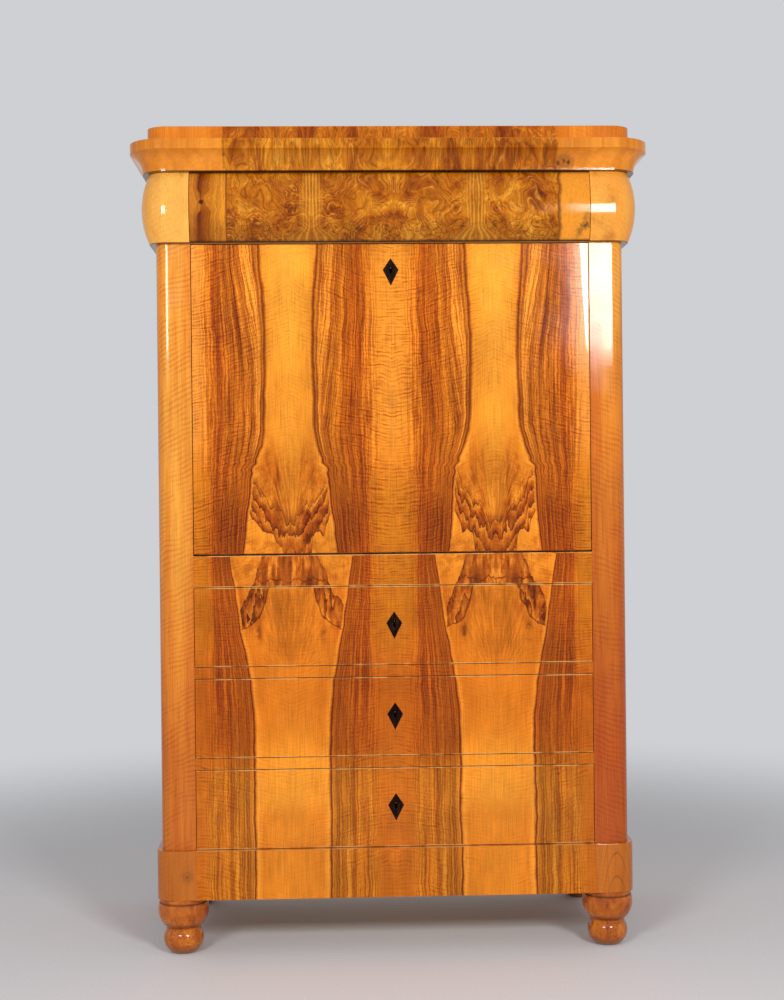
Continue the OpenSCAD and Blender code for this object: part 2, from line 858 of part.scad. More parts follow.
small_drawer(1);  // small_drawer_1
small_drawer(2);  // small_drawer_2
small_drawer(3);  // small_drawer_3
small_drawer(4);  // small_drawer_4
small_knob(1);  // small_knob_1
small_knob(2);  // small_knob_2
small_knob(3);  // small_knob_3
small_knob(4);  // small_knob_4
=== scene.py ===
"""Drop-front secretary: finishes, small fittings, light and camera round the CAD model."""

import math

import bmesh
import bpy
from mathutils import Matrix, Vector


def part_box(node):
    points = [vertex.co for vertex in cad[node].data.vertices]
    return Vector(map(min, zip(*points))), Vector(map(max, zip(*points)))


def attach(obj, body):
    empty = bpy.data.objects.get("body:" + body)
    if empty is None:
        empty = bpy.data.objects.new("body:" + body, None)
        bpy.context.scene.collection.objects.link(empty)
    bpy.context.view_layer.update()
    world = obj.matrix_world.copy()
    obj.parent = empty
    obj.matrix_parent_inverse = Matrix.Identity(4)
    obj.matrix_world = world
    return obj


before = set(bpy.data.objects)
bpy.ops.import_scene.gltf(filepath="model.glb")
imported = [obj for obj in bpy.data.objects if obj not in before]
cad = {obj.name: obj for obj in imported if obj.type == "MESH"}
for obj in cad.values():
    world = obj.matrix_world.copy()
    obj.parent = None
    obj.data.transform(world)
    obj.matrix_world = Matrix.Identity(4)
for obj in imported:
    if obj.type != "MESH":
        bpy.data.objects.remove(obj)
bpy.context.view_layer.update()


def numbered(stem, count):
    """Names stem_1, stem_2 and so on."""
    return ["%s_%d" % (stem, number + 1) for number in range(count)]


# Places in metres that the veneer patterns and fittings share
FRONT_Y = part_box("fall_rail")[0].y
SILL_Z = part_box("fall_rail")[1].z
RAIL_FOOT = (0.7045, 0.7055)
FRONT_NODES = ("fall_panel", "fall_rail", *numbered("drawer_front", 3))
EDGE_HEIGHTS = [corner.z for name in FRONT_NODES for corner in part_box(name)]
SOFT_EDGED = (*FRONT_NODES, "drawer_rails", "plinth_front", "plinth_sides")
EDGE_ROUNDING = 0.0006
BACK_BOARD_WIDTH = 0.17116


def add_camera():
    """Nearly level camera in front of the cabinet, a little to its left, as in the photo."""
    data = bpy.data.cameras.new("photo_camera")
    data.lens = 56.16
    camera = bpy.data.objects.new("photo_camera", data)
    camera.matrix_world = (
        Matrix.Translation((-0.108, -3.193, 0.875))
        @ Matrix.Rotation(math.radians(-2.03), 4, "Z")
        @ Matrix.Rotation(math.radians(89.88), 4, "X")
        @ Matrix.Rotation(math.radians(-0.59), 4, "Z")
    )
    bpy.context.scene.collection.objects.link(camera)
    bpy.context.scene.camera = camera


def srgb(red, green, blue):
    """Linear colour with alpha from 0-255 screen values."""
    shares = [v / 255 for v in (red, green, blue)]
    linear = [s / 12.92 if s <= 0.04045 else ((s + 0.055) / 1.055) ** 2.4 for s in shares]
    return (*linear, 1.0)


BACKDROP = srgb(206, 208, 211)
SKY_LIGHT = (0.36, 0.36, 0.37, 1.0)


class Paint:
    """One material and its nodes. A value is a socket, a number or a (red, green, blue) screen colour."""

    def __init__(self, name):
        self.material = bpy.data.materials.new(name)
        self.material.use_nodes = True
        self.tree = self.material.node_tree
        self.shader = self.tree.nodes["Principled BSDF"]
        self.place = self.new("ShaderNodeTexCoord").outputs["Object"]
        split = self.new("ShaderNodeSeparateXYZ")
        self.put(split.inputs[0], self.place)
        self.x, self.y, self.z = split.outputs

    def new(self, kind):
        return self.tree.nodes.new(kind)

    def put(self, socket, value):
        if isinstance(value, bpy.types.NodeSocket):
            self.tree.links.new(value, socket)
        else:
            socket.default_value = srgb(*value) if isinstance(value, tuple) else value

    def fill(self, node, *values, **named):
        """Fills a node's inputs, in order or by name, and returns its first output."""
        for socket, value in zip(node.inputs, values):
            self.put(socket, value)
        for name, value in named.items():
            self.put(node.inputs[name], value)
        return node.outputs[0]

    def math(self, operation, *values):
        node = self.new("ShaderNodeMath")
        node.operation = operation
        return self.fill(node, *values)

    def chain(self, operation, values):
        """One operation over all values, from left to right."""
        result = values[0]
        for value in values[1:]:
            result = self.math(operation, result, value)
        return result

    def add(self, *values):
        return self.chain("ADD", values)

    def mul(self, *values):
        return self.chain("MULTIPLY", values)

    def min(self, *values):
        return self.chain("MINIMUM", values)

    def max(self, *values):
        return self.chain("MAXIMUM", values)

    def sub(self, a, b):
        return self.math("SUBTRACT", a, b)

    def abs(self, value):
        return self.math("ABSOLUTE", value)

    def above(self, value, limit):
        """1 where value is greater than limit, else 0."""
        return self.math("GREATER_THAN", value, limit)

    def linear(self, value, factor, start):
        """Value times factor, plus start."""
        return self.math("MULTIPLY_ADD", value, factor, start)

    def centred(self, noise, amount):
        """Noise moved to lie round 0, times amount."""
        return self.mul(self.sub(noise, 0.5), amount)

    def hypotenuse(self, a, b):
        return self.math("SQRT", self.add(self.mul(a, a), self.mul(b, b)))

    def vector(self, x, y, z):
        return self.fill(self.new("ShaderNodeCombineXYZ"), x, y, z)

    def stretched(self, x, y, z):
        """Object coordinates times one number for each axis."""
        return self.vector(self.mul(self.x, x), self.mul(self.y, y), self.mul(self.z, z))

    def flat_place(self, u, u_scale, z_scale, seed=0.0):
        """Texture place in the plane of a coordinate u and height."""
        return self.vector(self.mul(u, u_scale), seed, self.mul(self.z, z_scale))

    def noise(self, place=None, scale=1.0, detail=2.0, rough=0.5, twist=0.0):
        node = self.new("ShaderNodeTexNoise")
        place = self.place if place is None else place
        return self.fill(node, Vector=place, Scale=scale, Detail=detail, Roughness=rough, Distortion=twist)

    def leaf_noise(self, u, u_scale, x_scale, z_scale, **shape):
        """Noise over u and height that differs a little between matched leaves."""
        return self.noise(self.flat_place(u, u_scale, z_scale, self.mul(self.x, x_scale)), **shape)

    def grain(self, x, y, z, **shape):
        """Noise with its own scale along each axis."""
        return self.noise(self.stretched(x, y, z), **shape)

    def cells(self, place, scale):
        return self.fill(self.new("ShaderNodeTexVoronoi"), Vector=place, Scale=scale)

    def fade(self, value, low, high, to_low=0.0, to_high=1.0):
        """Smooth step of value between low and high, where low may be the greater."""
        node = self.new("ShaderNodeMapRange")
        node.interpolation_type = "SMOOTHSTEP"
        return self.fill(node, value, low, high, to_low, to_high)

    def rise(self, *limits):
        """Smooth step of the height."""
        return self.fade(self.z, *limits)

    def near(self, value, middle, inner, outer):
        """1 within inner of middle, and down to 0 at outer."""
        return self.fade(self.abs(self.sub(value, middle)), outer, inner)

    def between(self, value, start, full, waning, end):
        """Rises from 0 at start to 1 at full, and falls again from waning to end."""
        return self.mul(self.fade(value, start, full), self.fade(value, end, waning))

    def curve(self, value, points, span=1.6, reach=1.6):
        """Curve through (value, result) points, with values up to span and results up to reach."""
        node = self.new("ShaderNodeFloatCurve")
        line = node.mapping.curves[0]
        while len(line.points) < len(points):
            line.points.new(0.5, 0.5)
        for point, (at, result) in zip(line.points, points):
            point.location = (at / span, result / reach)
            point.handle_type = "VECTOR"
        node.mapping.update()
        self.put(node.inputs["Value"], self.mul(value, 1 / span))
        return self.mul(node.outputs[0], reach)

    def ramp(self, value, stops):
        """Colour at value, from (value, red, green, blue) stops."""
        low, high = stops[0][0], stops[-1][0]
        node = self.new("ShaderNodeValToRGB")
        elements = node.color_ramp.elements
        while len(elements) < len(stops):
            elements.new(0.5)
        for element, (at, *colour) in zip(elements, stops):
            element.position = (at - low) / (high - low)
            element.color = srgb(*colour)
        return self.fill(node, self.mul(self.sub(value, low), 1 / (high - low)))

    def mix(self, share, a, b, blend="MIX"):
        node = self.new("ShaderNodeMix")
        node.data_type = "RGBA"
        node.blend_type = blend
        for place, value in ((0, share), (6, a), (7, b)):
            self.put(node.inputs[place], value)
        return node.outputs[2]

    def over(self, base, colour, *shares):
        """Base with colour over it, by the product of the shares."""
        return self.mix(self.mul(*shares), base, colour)

    def tint(self, base, colour, *shares):
        """Base multiplied by colour, by the product of the shares."""
        return self.mix(self.mul(*shares), base, colour, "MULTIPLY")

    def shade(self, colour, amount, *limits):
        """Colour times a brightness: amount, or a smooth step of it."""
        amount = self.fade(amount, *limits) if limits else amount
        return self.tint(colour, self.vector(amount, amount, amount), 1.0)

    def ripple(self, phase, period):
        """Sine of a length in metres, from -1 to 1."""
        return self.math("SINE", self.mul(phase, 2 * math.pi / period))

    def bump(self, height, strength, distance, under=None):
        node = self.new("ShaderNodeBump")
        if under is not None:
            self.put(node.inputs["Normal"], under)
        return self.fill(node, Height=height, Strength=strength, Distance=distance)

    def finish(self, colour, roughness, normal=None, metallic=0.0, specular=0.5):
        self.fill(self.shader, colour, Roughness=roughness, Metallic=metallic)
        if normal is not None:
            self.put(self.shader.inputs["Normal"], normal)
        self.shader.inputs["Specular IOR Level"].default_value = specular
        return self.material


def polish(p, colour, specular=0.18, dull=0.0):
    """French polish, which dips a little into the grain and is duller in places."""
    waves = p.bump(p.noise(scale=7), 0.2, 0.0012)
    normal = p.bump(p.grain(900, 900, 30, detail=1), 0.08, 0.0002, waves)
    worn = p.noise(scale=11, detail=4, rough=0.7)
    roughness = p.linear(dull, 0.4, p.fade(worn, 0.35, 0.75, 0.06, 0.15))
    return p.finish(colour, roughness, normal, specular=specular)


def pores(p, colour, depth=0.26):
    """Fine dark pores and lines along the upright grain."""
    return p.shade(colour, p.grain(850, 850, 14, rough=0.6), 0.25, 0.6, 1 - depth, 1 + depth * 0.15)


def behind_face(p, colour, inner):
    """Keeps the veneer on the front face, with another wood behind it and painted shade, nearly black, on the
    keyholes' walls.
    """
    depth = p.sub(p.y, FRONT_Y)
    colour = p.over(colour, inner, p.fade(depth, 0.0012, 0.0016))
    # Painted shade: the walls of each keyhole, behind the front face, nearly black
    near_key = p.above(0.004, p.abs(p.x))
    return p.over(colour, (24, 10, 4), p.between(depth, 0.0004, 0.004, 0.016, 0.02), near_key)


def curl_lines(p, phase, period, place):
    """Broken dark lines of curly grain, from 0 to 1."""
    wave = p.linear(p.ripple(phase, period), 0.5, 0.5)
    breaks = p.fade(p.noise(place, detail=3, rough=0.6), 0.36, 0.6)
    return p.mul(p.math("POWER", wave, 2.2), breaks)


# Half-width of the pale sapwood band on each side of its axis, by height
BAND_EDGE = (
    (0.0, 0.0715), (0.375, 0.0718), (0.465, 0.0724), (0.523, 0.0797), (0.552, 0.086), (0.62, 0.098),
    (0.7, 0.1085), (0.7645, 0.118), (0.7655, 0.091), (0.811, 0.0855), (0.868, 0.0765), (0.907, 0.073),
    (0.926, 0.071), (0.938, 0.067), (0.952, 0.06), (0.974, 0.0525), (1.003, 0.0472), (1.105, 0.0442),
    (1.237, 0.0455), (1.358, 0.0547), (1.6, 0.058),
)
# Lower edge of the fall's dark flame by distance from the axis, in the outermost leaf and the others
FLAME_FOOT_OUTER = (
    (0.0, 0.7), (0.012, 0.755), (0.016, 0.784), (0.027, 0.79), (0.032, 0.806), (0.052, 0.811),
    (0.06, 0.82), (0.073, 0.836), (0.082, 0.856), (0.1, 0.9), (0.2, 0.95),
)
FLAME_FOOT = (
    (0.0, 0.7), (0.038, 0.745), (0.043, 0.797), (0.046, 0.806), (0.055, 0.811), (0.06, 0.803),
    (0.065, 0.803), (0.068, 0.822), (0.075, 0.838), (0.0855, 0.856), (0.1, 0.9), (0.2, 0.95),
)
# Rise of the flame's inner lines from the band's axis outwards
FLAME_BOWL = (
    (0.0, 0.0), (0.01, 0.002), (0.02, 0.01), (0.033, 0.022), (0.045, 0.037), (0.06, 0.058), (0.072, 0.082),
    (0.082, 0.115), (0.2, 0.2),
)
# Outer edge of the flame under the fall, and inner edge of its legs in the drawer, by height
FLAME_SIDE = (
    (0.0, 0.1), (0.625, 0.1), (0.661, 0.101), (0.676, 0.094),
    (0.692, 0.085), (0.706, 0.078), (0.715, 0.071), (0.74, 0.065), (0.765, 0.054), (1.6, 0.055),
)
FLAME_LEG = (
    (0.0, 0.105), (0.618, 0.104), (0.628, 0.084), (0.64, 0.067), (0.655, 0.059), (0.676, 0.049),
    (0.705, 0.042), (1.6, 0.042),
)
# Colours by distance from the sapwood's edge, as a share of the dark band's half-width
SAPWOOD = (
    (-0.6, 255, 172, 56), (-0.16, 252, 162, 46), (-0.04, 240, 146, 38),
    (-0.012, 168, 84, 12), (0.012, 132, 56, 4), (0.032, 190, 104, 22),
)
INNER_BAND = (
    (0.07, 206, 120, 30), (0.095, 150, 74, 10), (0.13, 226, 134, 36), (0.2, 240, 148, 44),
    (0.31, 232, 138, 38), (0.36, 190, 100, 18), (0.41, 222, 128, 32), (0.46, 184, 98, 14),
    (0.53, 212, 122, 26), (0.6, 200, 108, 18), (0.66, 182, 90, 10), (0.74, 204, 108, 16),
    (0.82, 182, 88, 10), (0.9, 206, 110, 18), (0.98, 222, 124, 27), (1.08, 230, 136, 35),
    (1.26, 240, 147, 41), (1.6, 243, 153, 49),
)
OUTER_BAND = (
    (0.08, 200, 116, 28), (0.125, 148, 72, 8), (0.165, 228, 136, 38), (0.26, 242, 152, 48),
    (0.42, 234, 142, 40), (0.47, 168, 84, 10), (0.52, 218, 126, 32), (0.57, 160, 78, 8),
    (0.63, 202, 112, 24), (0.7, 178, 92, 14), (0.78, 208, 116, 24), (0.85, 178, 84, 10),
    (0.92, 202, 104, 18), (1.0, 226, 128, 30), (1.1, 242, 148, 48), (1.6, 252, 164, 72),
)
LOWER_BAND = (
    (-0.6, 248, 156, 44), (-0.18, 242, 148, 38), (-0.06, 254, 164, 50), (-0.015, 206, 110, 22),
    (0.004, 104, 40, 3), (0.028, 136, 58, 5), (0.048, 208, 116, 30), (0.072, 172, 82, 12),
    (0.1, 198, 108, 22), (0.14, 158, 76, 8), (0.24, 190, 102, 18), (0.34, 168, 82, 9),
    (0.45, 198, 110, 22), (0.58, 170, 80, 9), (0.7, 196, 104, 16), (0.8, 174, 82, 10),
    (0.95, 204, 112, 22), (1.08, 222, 128, 28), (1.6, 232, 138, 36),
)
# Distance of the sapwood's axes from the middle, and from an axis to the middle of the dark wood
LEAF = 0.197
BAND_MIDDLE = 0.152
# Height of the kink in the streaks
KINK_Z = 0.936


def figured_veneer(name, inner):
    """Book-matched streaked veneer that runs on over the fall, rails, drawers and plinth."""
    p = Paint(name)
    fold = p.abs(p.x)
    off = p.abs(p.sub(fold, LEAF))
    outside = p.above(fold, LEAF)
    right = p.above(p.x, 0)
    drift = p.centred(p.grain(2, 0, 3), 0.012)
    wander = p.centred(p.noise(p.flat_place(off, 4, 6), detail=3), 0.014)
    shake = p.centred(p.grain(45, 0, 24, detail=4, rough=0.6), 0.008)
    kink = p.mul(p.near(p.z, KINK_Z, 0, 0.026), p.ripple(p.sub(p.z, KINK_Z), 0.023))
    kink = p.mul(kink, p.fade(off, 0.07, 0.125, 0.0028, 0.0008))
    away = p.add(off, kink, shake, drift, wander)
    edge = p.add(p.curve(p.z, BAND_EDGE), p.mul(right, p.near(p.z, 0.93, 0.02, 0.12), 0.007))
    across = p.math("DIVIDE", p.sub(away, edge), p.sub(BAND_MIDDLE, edge))
    # The dark streaks close in on the sapwood on their way down, sooner in the outer leaves
    bounded = p.min(p.max(across, 0), 1)
    height = p.linear(outside, -0.13, p.z)
    closing = p.mul(p.fade(across, 0.03, 0.16), p.sub(1, bounded), p.fade(height, 1.26, 0.97, 0, 0.32))
    inside = p.add(across, closing)

    upper = p.over(p.ramp(inside, SAPWOOD + INNER_BAND), p.ramp(inside, SAPWOOD + OUTER_BAND), outside)
    red = p.mul(p.near(inside, 0.8, 0.06, 0.2), p.rise(1.02, 1.12))
    red_streaks = p.noise(p.flat_place(inside, 34, 10, 1), detail=4, rough=0.7)
    red = p.mul(red, p.linear(right, -0.55, 1), p.linear(outside, -0.75, 1))
    upper = p.over(upper, (160, 56, 3), red, p.fade(red_streaks, 0.48, 0.62, 0, 0.62))
    base = p.over(upper, p.ramp(across, LOWER_BAND), p.rise(1.02, 0.92))
    in_band = p.between(across, -0.03, 0.05, 0.92, 1.3)
    base = dark_streaks(p, base, inside, in_band)

    # Browner outer parts in the upper drawers, redder wood round them, paler wood at the floor
    base = p.tint(base, (232, 214, 190), p.fade(across, 0.8, 1.1), p.rise(0.64, 0.5))
    base = p.tint(base, (244, 230, 206), p.rise(1.05, 0.6), p.rise(0.33, 0.44))
    base = p.over(base, p.mix(1, base, (236, 210, 190), "DIVIDE"), p.rise(0.4, 0.33), in_band)
    # Olive tone at the joints round the rail, browner bands over it, and duller sapwood in places
    base = p.tint(base, (236, 240, 200), p.fade(across, 0.95, 1.2), p.near(p.z, 0.74, 0.12, 0.2))
    base = p.tint(base, (232, 220, 200), p.near(p.z, 0.8, 0.03, 0.11), in_band)
    dull = p.max(
        p.near(p.z, 0.57, 0.08, 0.2),
        p.rise(0.3, 0.26),
        p.mul(p.rise(1.24, 1.06, 0, 0.75), p.rise(0.84, 0.94)),
    )
    base = p.tint(base, (240, 226, 206), dull, p.fade(across, 0, -0.2))
    # Brown line inside the sapwood's edge above the flame
    beside = p.near(away, 0.04, 0.001, 0.014)
    edge_line = p.mul(beside, p.rise(0.872, 0.905), p.fade(p.add(p.z, drift), 1.05, 0.93))
    rubbed = p.leaf_noise(off, 90, 5, 60, detail=4, rough=0.7)
    base = p.over(base, (196, 100, 16), edge_line, p.fade(rubbed, 0.34, 0.6, 0.35, 0.95))

    base = flame(p, base, off, p.sub(edge, away))
    base = add_curl(p, base, off, across)
    base = edge_joints_shade_and_highlight(p, base, fold, off)
    # Thick varnish along the fall's right edge
    strip = p.fade(p.linear(p.z, 0.05, p.x), 0.4322, 0.435)
    p.put(p.shader.inputs["Coat Weight"], p.mul(strip, p.fade(p.x, 0.3798, 0.3785), p.rise(1.12, 1.2)))
    p.shader.inputs["Coat Roughness"].default_value = 0.05
    return polish(p, behind_face(p, pores(p, base), inner(p)))


def dark_streaks(p, base, inside, in_band):
    """Fine upright streaks and beads, strongest in the dark bands and weaker near the floor."""
    run = p.linear(p.grain(120, 0, 90), 0.02, inside)
    streaks = p.noise(p.flat_place(run, 15, 1.6), detail=6, rough=0.84)
    lines = p.noise(p.flat_place(run, 40, 4.5, 4), detail=4, rough=0.76)
    beads = p.noise(p.flat_place(run, 48, 120, 9), rough=0.6)
    streaky = p.mul(
        p.fade(streaks, 0.36, 0.62, 0.62, 1.3),
        p.fade(lines, 0.41, 0.57, 0.52, 1.34),
        p.fade(beads, 0.34, 0.64, 0.84, 1.14),
    )
    weight = p.mul(p.linear(in_band, 0.87, 0.11), p.rise(0.4, 0.8, 0.78, 1))
    base = p.tint(base, (190, 148, 92), p.fade(streaky, 1.04, 0.46), weight)
    return p.shade(base, p.linear(p.fade(streaky, 0.98, 1.5), p.mul(weight, 0.4), 1))


def add_curl(p, base, off, across):
    """Curl across the grain, leaning one way in the fall and the other way in the drawers."""
    lean = p.mul(p.math("SMOOTH_MIN", off, 0.158, 0.085), p.rise(0.45, 0.85, -0.28, 0.38))
    bend = p.mul(p.leaf_noise(off, 9, 0.8, 8, detail=3, rough=0.55), 0.034)
    phase = p.add(p.z, lean, bend)
    coarse = p.linear(p.grain(90, 0, 60), 0.004, phase)
    coarse = curl_lines(p, coarse, 0.0082, p.flat_place(p.x, 52, 80, 7))
    fine = curl_lines(p, p.linear(bend, 0.4, phase), 0.0058, p.flat_place(p.x, 60, 90, 2))
    patchy = p.fade(p.leaf_noise(off, 16, 4, 10), 0.34, 0.64, 0.45, 1.15)
    strength = p.mul(p.fade(across, -0.4, 0.6, 0.24, 0.56), patchy, p.rise(0.5, 0.8, 0.72, 1))
    return p.tint(base, (194, 142, 96), p.linear(fine, 0.9, coarse), strength)


def edge_joints_shade_and_highlight(p, base, fold, off):
    """Joints between leaves, painted shade along the edges, blotches, and painted highlight lines along the
    edges below the fall.
    """
    joint_line = p.fade(p.grain(0, 0, 30), 0.4, 0.65, 1, 0.9)
    base = p.shade(base, p.max(p.fade(p.min(fold, off), 0.0003, 0.001, 0.8, 1), joint_line))
    # Painted shade: darker within about 4 mm of the top and bottom edges of the fall, rail and drawer fronts
    gap = p.min(*(p.abs(p.sub(p.z, height)) for height in EDGE_HEIGHTS))
    gap_shade = p.linear(p.grain(30, 0, 200, detail=3), 0.003, gap)
    base = p.shade(base, gap_shade, 0.0014, 0.004, 0.78, 1)
    base = p.shade(base, p.leaf_noise(off, 15, 5, 9, detail=4, rough=0.55), 0.28, 0.7, 0.85, 1.12)
    # Painted highlight: pale broken lines within about 2 mm of the front edges, at and below the fall's sill
    highlight_breaks = p.fade(p.grain(26, 0, 3, detail=3), 0.38, 0.58, 0.15, 0.8)
    worn = p.mul(p.fade(gap, 0.0021, 0.0011), highlight_breaks, p.rise(SILL_Z + 0.005, SILL_Z + 0.004))
    return p.over(base, (240, 178, 102), worn)


def flame(p, base, off, from_edge):
    """Dark flame in the sapwood: jagged bowls in the fall, a column in the rail and two legs under it."""
    others = p.above(p.x, -LEAF)
    in_fall = p.above(p.z, SILL_Z)
    below = p.sub(1, in_fall)
    jagged = p.centred(p.leaf_noise(off, 58, 6, 15, detail=3, rough=0.58), 0.095)
    outer_foot, other_foot = p.curve(off, FLAME_FOOT_OUTER, 0.2), p.curve(off, FLAME_FOOT, 0.2)
    foot = p.linear(others, p.sub(other_foot, outer_foot), outer_foot)
    over = p.linear(jagged, 0.24, p.sub(p.z, foot))
    bowls = p.add(p.sub(p.sub(p.z, p.curve(off, FLAME_BOWL, 0.2, 0.2)), 0.768), jagged)
    under = p.linear(jagged, 0.3, p.sub(p.curve(p.z, FLAME_SIDE), off))
    depth = p.linear(over, in_fall, p.mul(under, below))
    waves = p.linear(bowls, in_fall, p.mul(p.linear(jagged, 0.9, under), below))
    ring = p.min(p.math("FRACT", p.mul(waves, 1 / 0.031)), p.linear(depth, 60, 0.02))
    # Fibres fan out from the middle of each half of the flame
    apex = p.linear(in_fall, 0.29, 0.5)
    from_axis = p.sub(p.abs(p.x), LEAF)
    fan = p.math("DIVIDE", from_axis, p.max(p.abs(p.sub(p.z, apex)), 0.025))
    fibres = p.noise(p.flat_place(fan, 26, 17, p.mul(others, 5)), detail=5, rough=0.75)
    blots = p.leaf_noise(off, 48, 6, 44, detail=4, rough=0.66)
    tone = p.add(ring, p.centred(fibres, 0.9), p.centred(blots, 1.3))
    colour = p.ramp(tone, (
        (-0.16, 74, 20, 2), (0.08, 106, 38, 3), (0.28, 156, 70, 8), (0.56, 190, 96, 15),
        (0.86, 222, 126, 30), (1.18, 250, 156, 48),
    ))
    in_rail = p.mul(p.rise(*RAIL_FOOT), below)
    colour = p.over(colour, flame_column(p, off, others, fibres, blots), in_rail, p.fade(depth, 0.003, 0.007))

    top = p.mul(p.fade(p.linear(blots, 0.05, bowls), 0.13, 0.075), in_fall)
    leg = p.linear(jagged, 0.25, p.sub(off, p.curve(p.z, FLAME_LEG)))
    legs = p.mul(p.max(p.fade(leg, -0.0012, 0.0006), in_rail), below)
    started = p.mul(p.fade(depth, 0, 0.001), p.fade(from_edge, 0.002, 0.006))
    base = p.over(base, colour, p.add(top, legs), started, 0.95)
    rim = p.mul(p.near(leg, 0, 0.0006, 0.0028), p.between(p.z, 0.612, 0.624, *RAIL_FOOT))
    base = p.over(base, (112, 42, 4), rim, p.fade(from_edge, 0, 0.004, 0, 0.85))

    # Fibres and soft brown patches round it
    around = p.mul(p.near(p.z, p.linear(in_fall, 0.24, 0.63), 0.05, 0.1), p.fade(off, 0.065, 0.045))
    base = p.shade(base, p.linear(p.sub(p.fade(fibres, 0.32, 0.64, 0.7, 1.16), 1), around, 1))
    heart_up = p.mul(p.fade(off, 0.034, 0.024), p.between(p.z, 0.822, 0.84, 0.89, 0.985))
    heart_low = p.mul(p.fade(off, 0.05, 0.022), p.between(p.z, 0.54, 0.6, 0.69, 0.712))
    heart = p.mul(p.max(heart_up, heart_low), p.fade(from_axis, -0.006, 0.004, 0.55, 1))
    base = p.over(base, (174, 90, 12), heart, p.fade(fibres, 0.34, 0.66, 1, 0.3), 0.85)
    rising = p.near(p.linear(jagged, 0.08, off), 0.026, 0.002, 0.011)
    rising = p.mul(rising, p.between(p.z, 0.815, 0.85, 0.93, 1.01))
    base = p.tint(base, (208, 162, 92), rising, p.fade(fibres, 0.32, 0.66, 0.95, 0.2))
    spot = p.mul(p.near(off, 0.063, 0, 0.013), p.near(p.z, 0.616, 0.004, 0.034))
    base = p.over(base, (140, 62, 5), spot, p.fade(blots, 0.38, 0.62, 1, 0.1))
    # Brown mottle over the bowls and inside the legs
    mottle = p.leaf_noise(off, 44, 7, 26, detail=4, rough=0.68)
    over_bowls = p.between(over, 0, 0.02, 0.1, 0.18)
    in_legs = p.mul(p.fade(leg, -0.04, -0.002, 0, 0.9), p.between(p.z, 0.578, 0.604, 0.704, 0.716))
    mottled = p.linear(over_bowls, in_fall, p.mul(in_legs, below))
    mottled = p.mul(mottled, p.fade(from_edge, 0.002, 0.008), p.fade(mottle, 0.42, 0.6, 0, 0.62))
    base = p.tint(base, (206, 160, 96), mottled)
    # Smudges in the pale triangles at the fall's foot and in the rail
    low_corner = p.mul(p.near(p.z, 0.755, 0.03, 0.055), p.fade(from_edge, 0, 0.004))
    return p.over(base, (176, 86, 14), low_corner, p.fade(blots, 0.38, 0.68, 0, 0.75))


def flame_column(p, off, others, fibres, blots):
    """Upright wedges in the rail over one wavy cross line, with a dark wedge at each band's axis."""
    wedges = p.noise(p.flat_place(off, 66, 15, p.mul(others, 4)), detail=4, rough=0.62)
    cross = p.abs(p.sub(p.z, p.linear(p.grain(62, 0, 0), 0.036, 0.699)))
    column = p.ramp(p.add(wedges, p.fade(cross, 0, 0.0022, -0.16, 0)), (
        (0.34, 84, 24, 2), (0.44, 134, 52, 5), (0.5, 176, 82, 11), (0.56, 224, 124, 30), (0.64, 250, 156, 50),
    ))
    heart = p.between(p.linear(p.sub(blots, 0.5), 0.016, p.add(p.x, LEAF)), -0.02, -0.015, 0, 0.003)
    return p.over(column, (120, 42, 4), heart, p.fade(fibres, 0.35, 0.65, 0.9, 0.55))


def plain_walnut(p):
    """Plain brown walnut of inner faces and edges."""
    grain = p.grain(70, 70, 2.5, detail=5, rough=0.6)
    return p.ramp(grain, ((0.3, 160, 84, 24), (0.5, 200, 120, 46), (0.7, 222, 146, 66)))


def plain_softwood(p):
    """Pale softwood of the drawer fronts' inner faces and edges, with the grain along x."""
    grain = p.grain(2.2, 60, 60, detail=4, rough=0.55, twist=0.4)
    return p.ramp(grain, ((0.3, 168, 114, 58), (0.45, 198, 148, 88), (0.7, 218, 176, 116)))


def plain_figure(p, tint_low, tint_high, curl_depth):
    """Straight-grained veneer with soft streaks and a light curl."""
    streaks = p.grain(30, 30, 1.1, detail=6, rough=0.68)
    colour = p.over(tint_low, tint_high, p.fade(streaks, 0.3, 0.7))
    sway = p.mul(p.grain(9, 9, 6, detail=3), 0.045)
    slope = p.mul(p.add(p.abs(p.x), p.y), 0.35)
    lines = curl_lines(p, p.add(p.z, sway, slope), 0.0098, p.stretched(26, 26, 24))
    colour = p.tint(colour, (206, 160, 116), lines, curl_depth)
    return p.shade(colour, p.noise(scale=4.5, detail=3), 0.25, 0.75, 0.9, 1.07)


def post_veneer():
    p = Paint("post_veneer")
    colour = plain_figure(p, (226, 130, 32), (255, 180, 66), 0.46)
    colour = p.tint(colour, (220, 184, 140), p.rise(1.15, 0.35))
    colour = p.tint(colour, (228, 196, 146), p.above(p.x, 0), p.rise(1.32, 1.1))
    return polish(p, pores(p, colour, depth=0.24), specular=0.36)


def under_shade(p, colour, low):
    """Painted shade, dark brown, under an overhanging edge whose lowest height is low."""
    return p.over(colour, (56, 22, 4), p.rise(low + 0.0006, low + 0.002, 0.85, 0))


def knot(p, colour, x, z):
    """Small dark knot with faint rings round it."""
    uneven = p.linear(p.noise(scale=70, detail=3), 0.012, p.hypotenuse(p.sub(p.x, x), p.sub(p.z, z)))
    ring = p.mul(p.fade(uneven, 0.026, 0.01), p.linear(p.ripple(uneven, 0.007), 0.12, 0.5))
    colour = p.over(colour, (136, 74, 18), ring)
    return p.over(colour, (70, 28, 5), p.fade(uneven, 0.007, 0.01, 0.92, 0))


def arched_grain(p, colour):
    """Pointed arches of grain on the front of the right plinth end."""
    side = p.sub(p.x, 0.4236)
    arch = p.add(p.sub(p.z, 0.197), p.mul(side, side, 105), p.mul(p.noise(scale=38, detail=3), 0.012))
    rise = p.abs(p.sub(p.math("FRACT", p.mul(arch, -1 / 0.045)), 0.12))
    return p.over(colour, (118, 66, 14), p.fade(rise, 0, 0.09, 0.6, 0), p.near(side, 0, 0.028, 0.034))


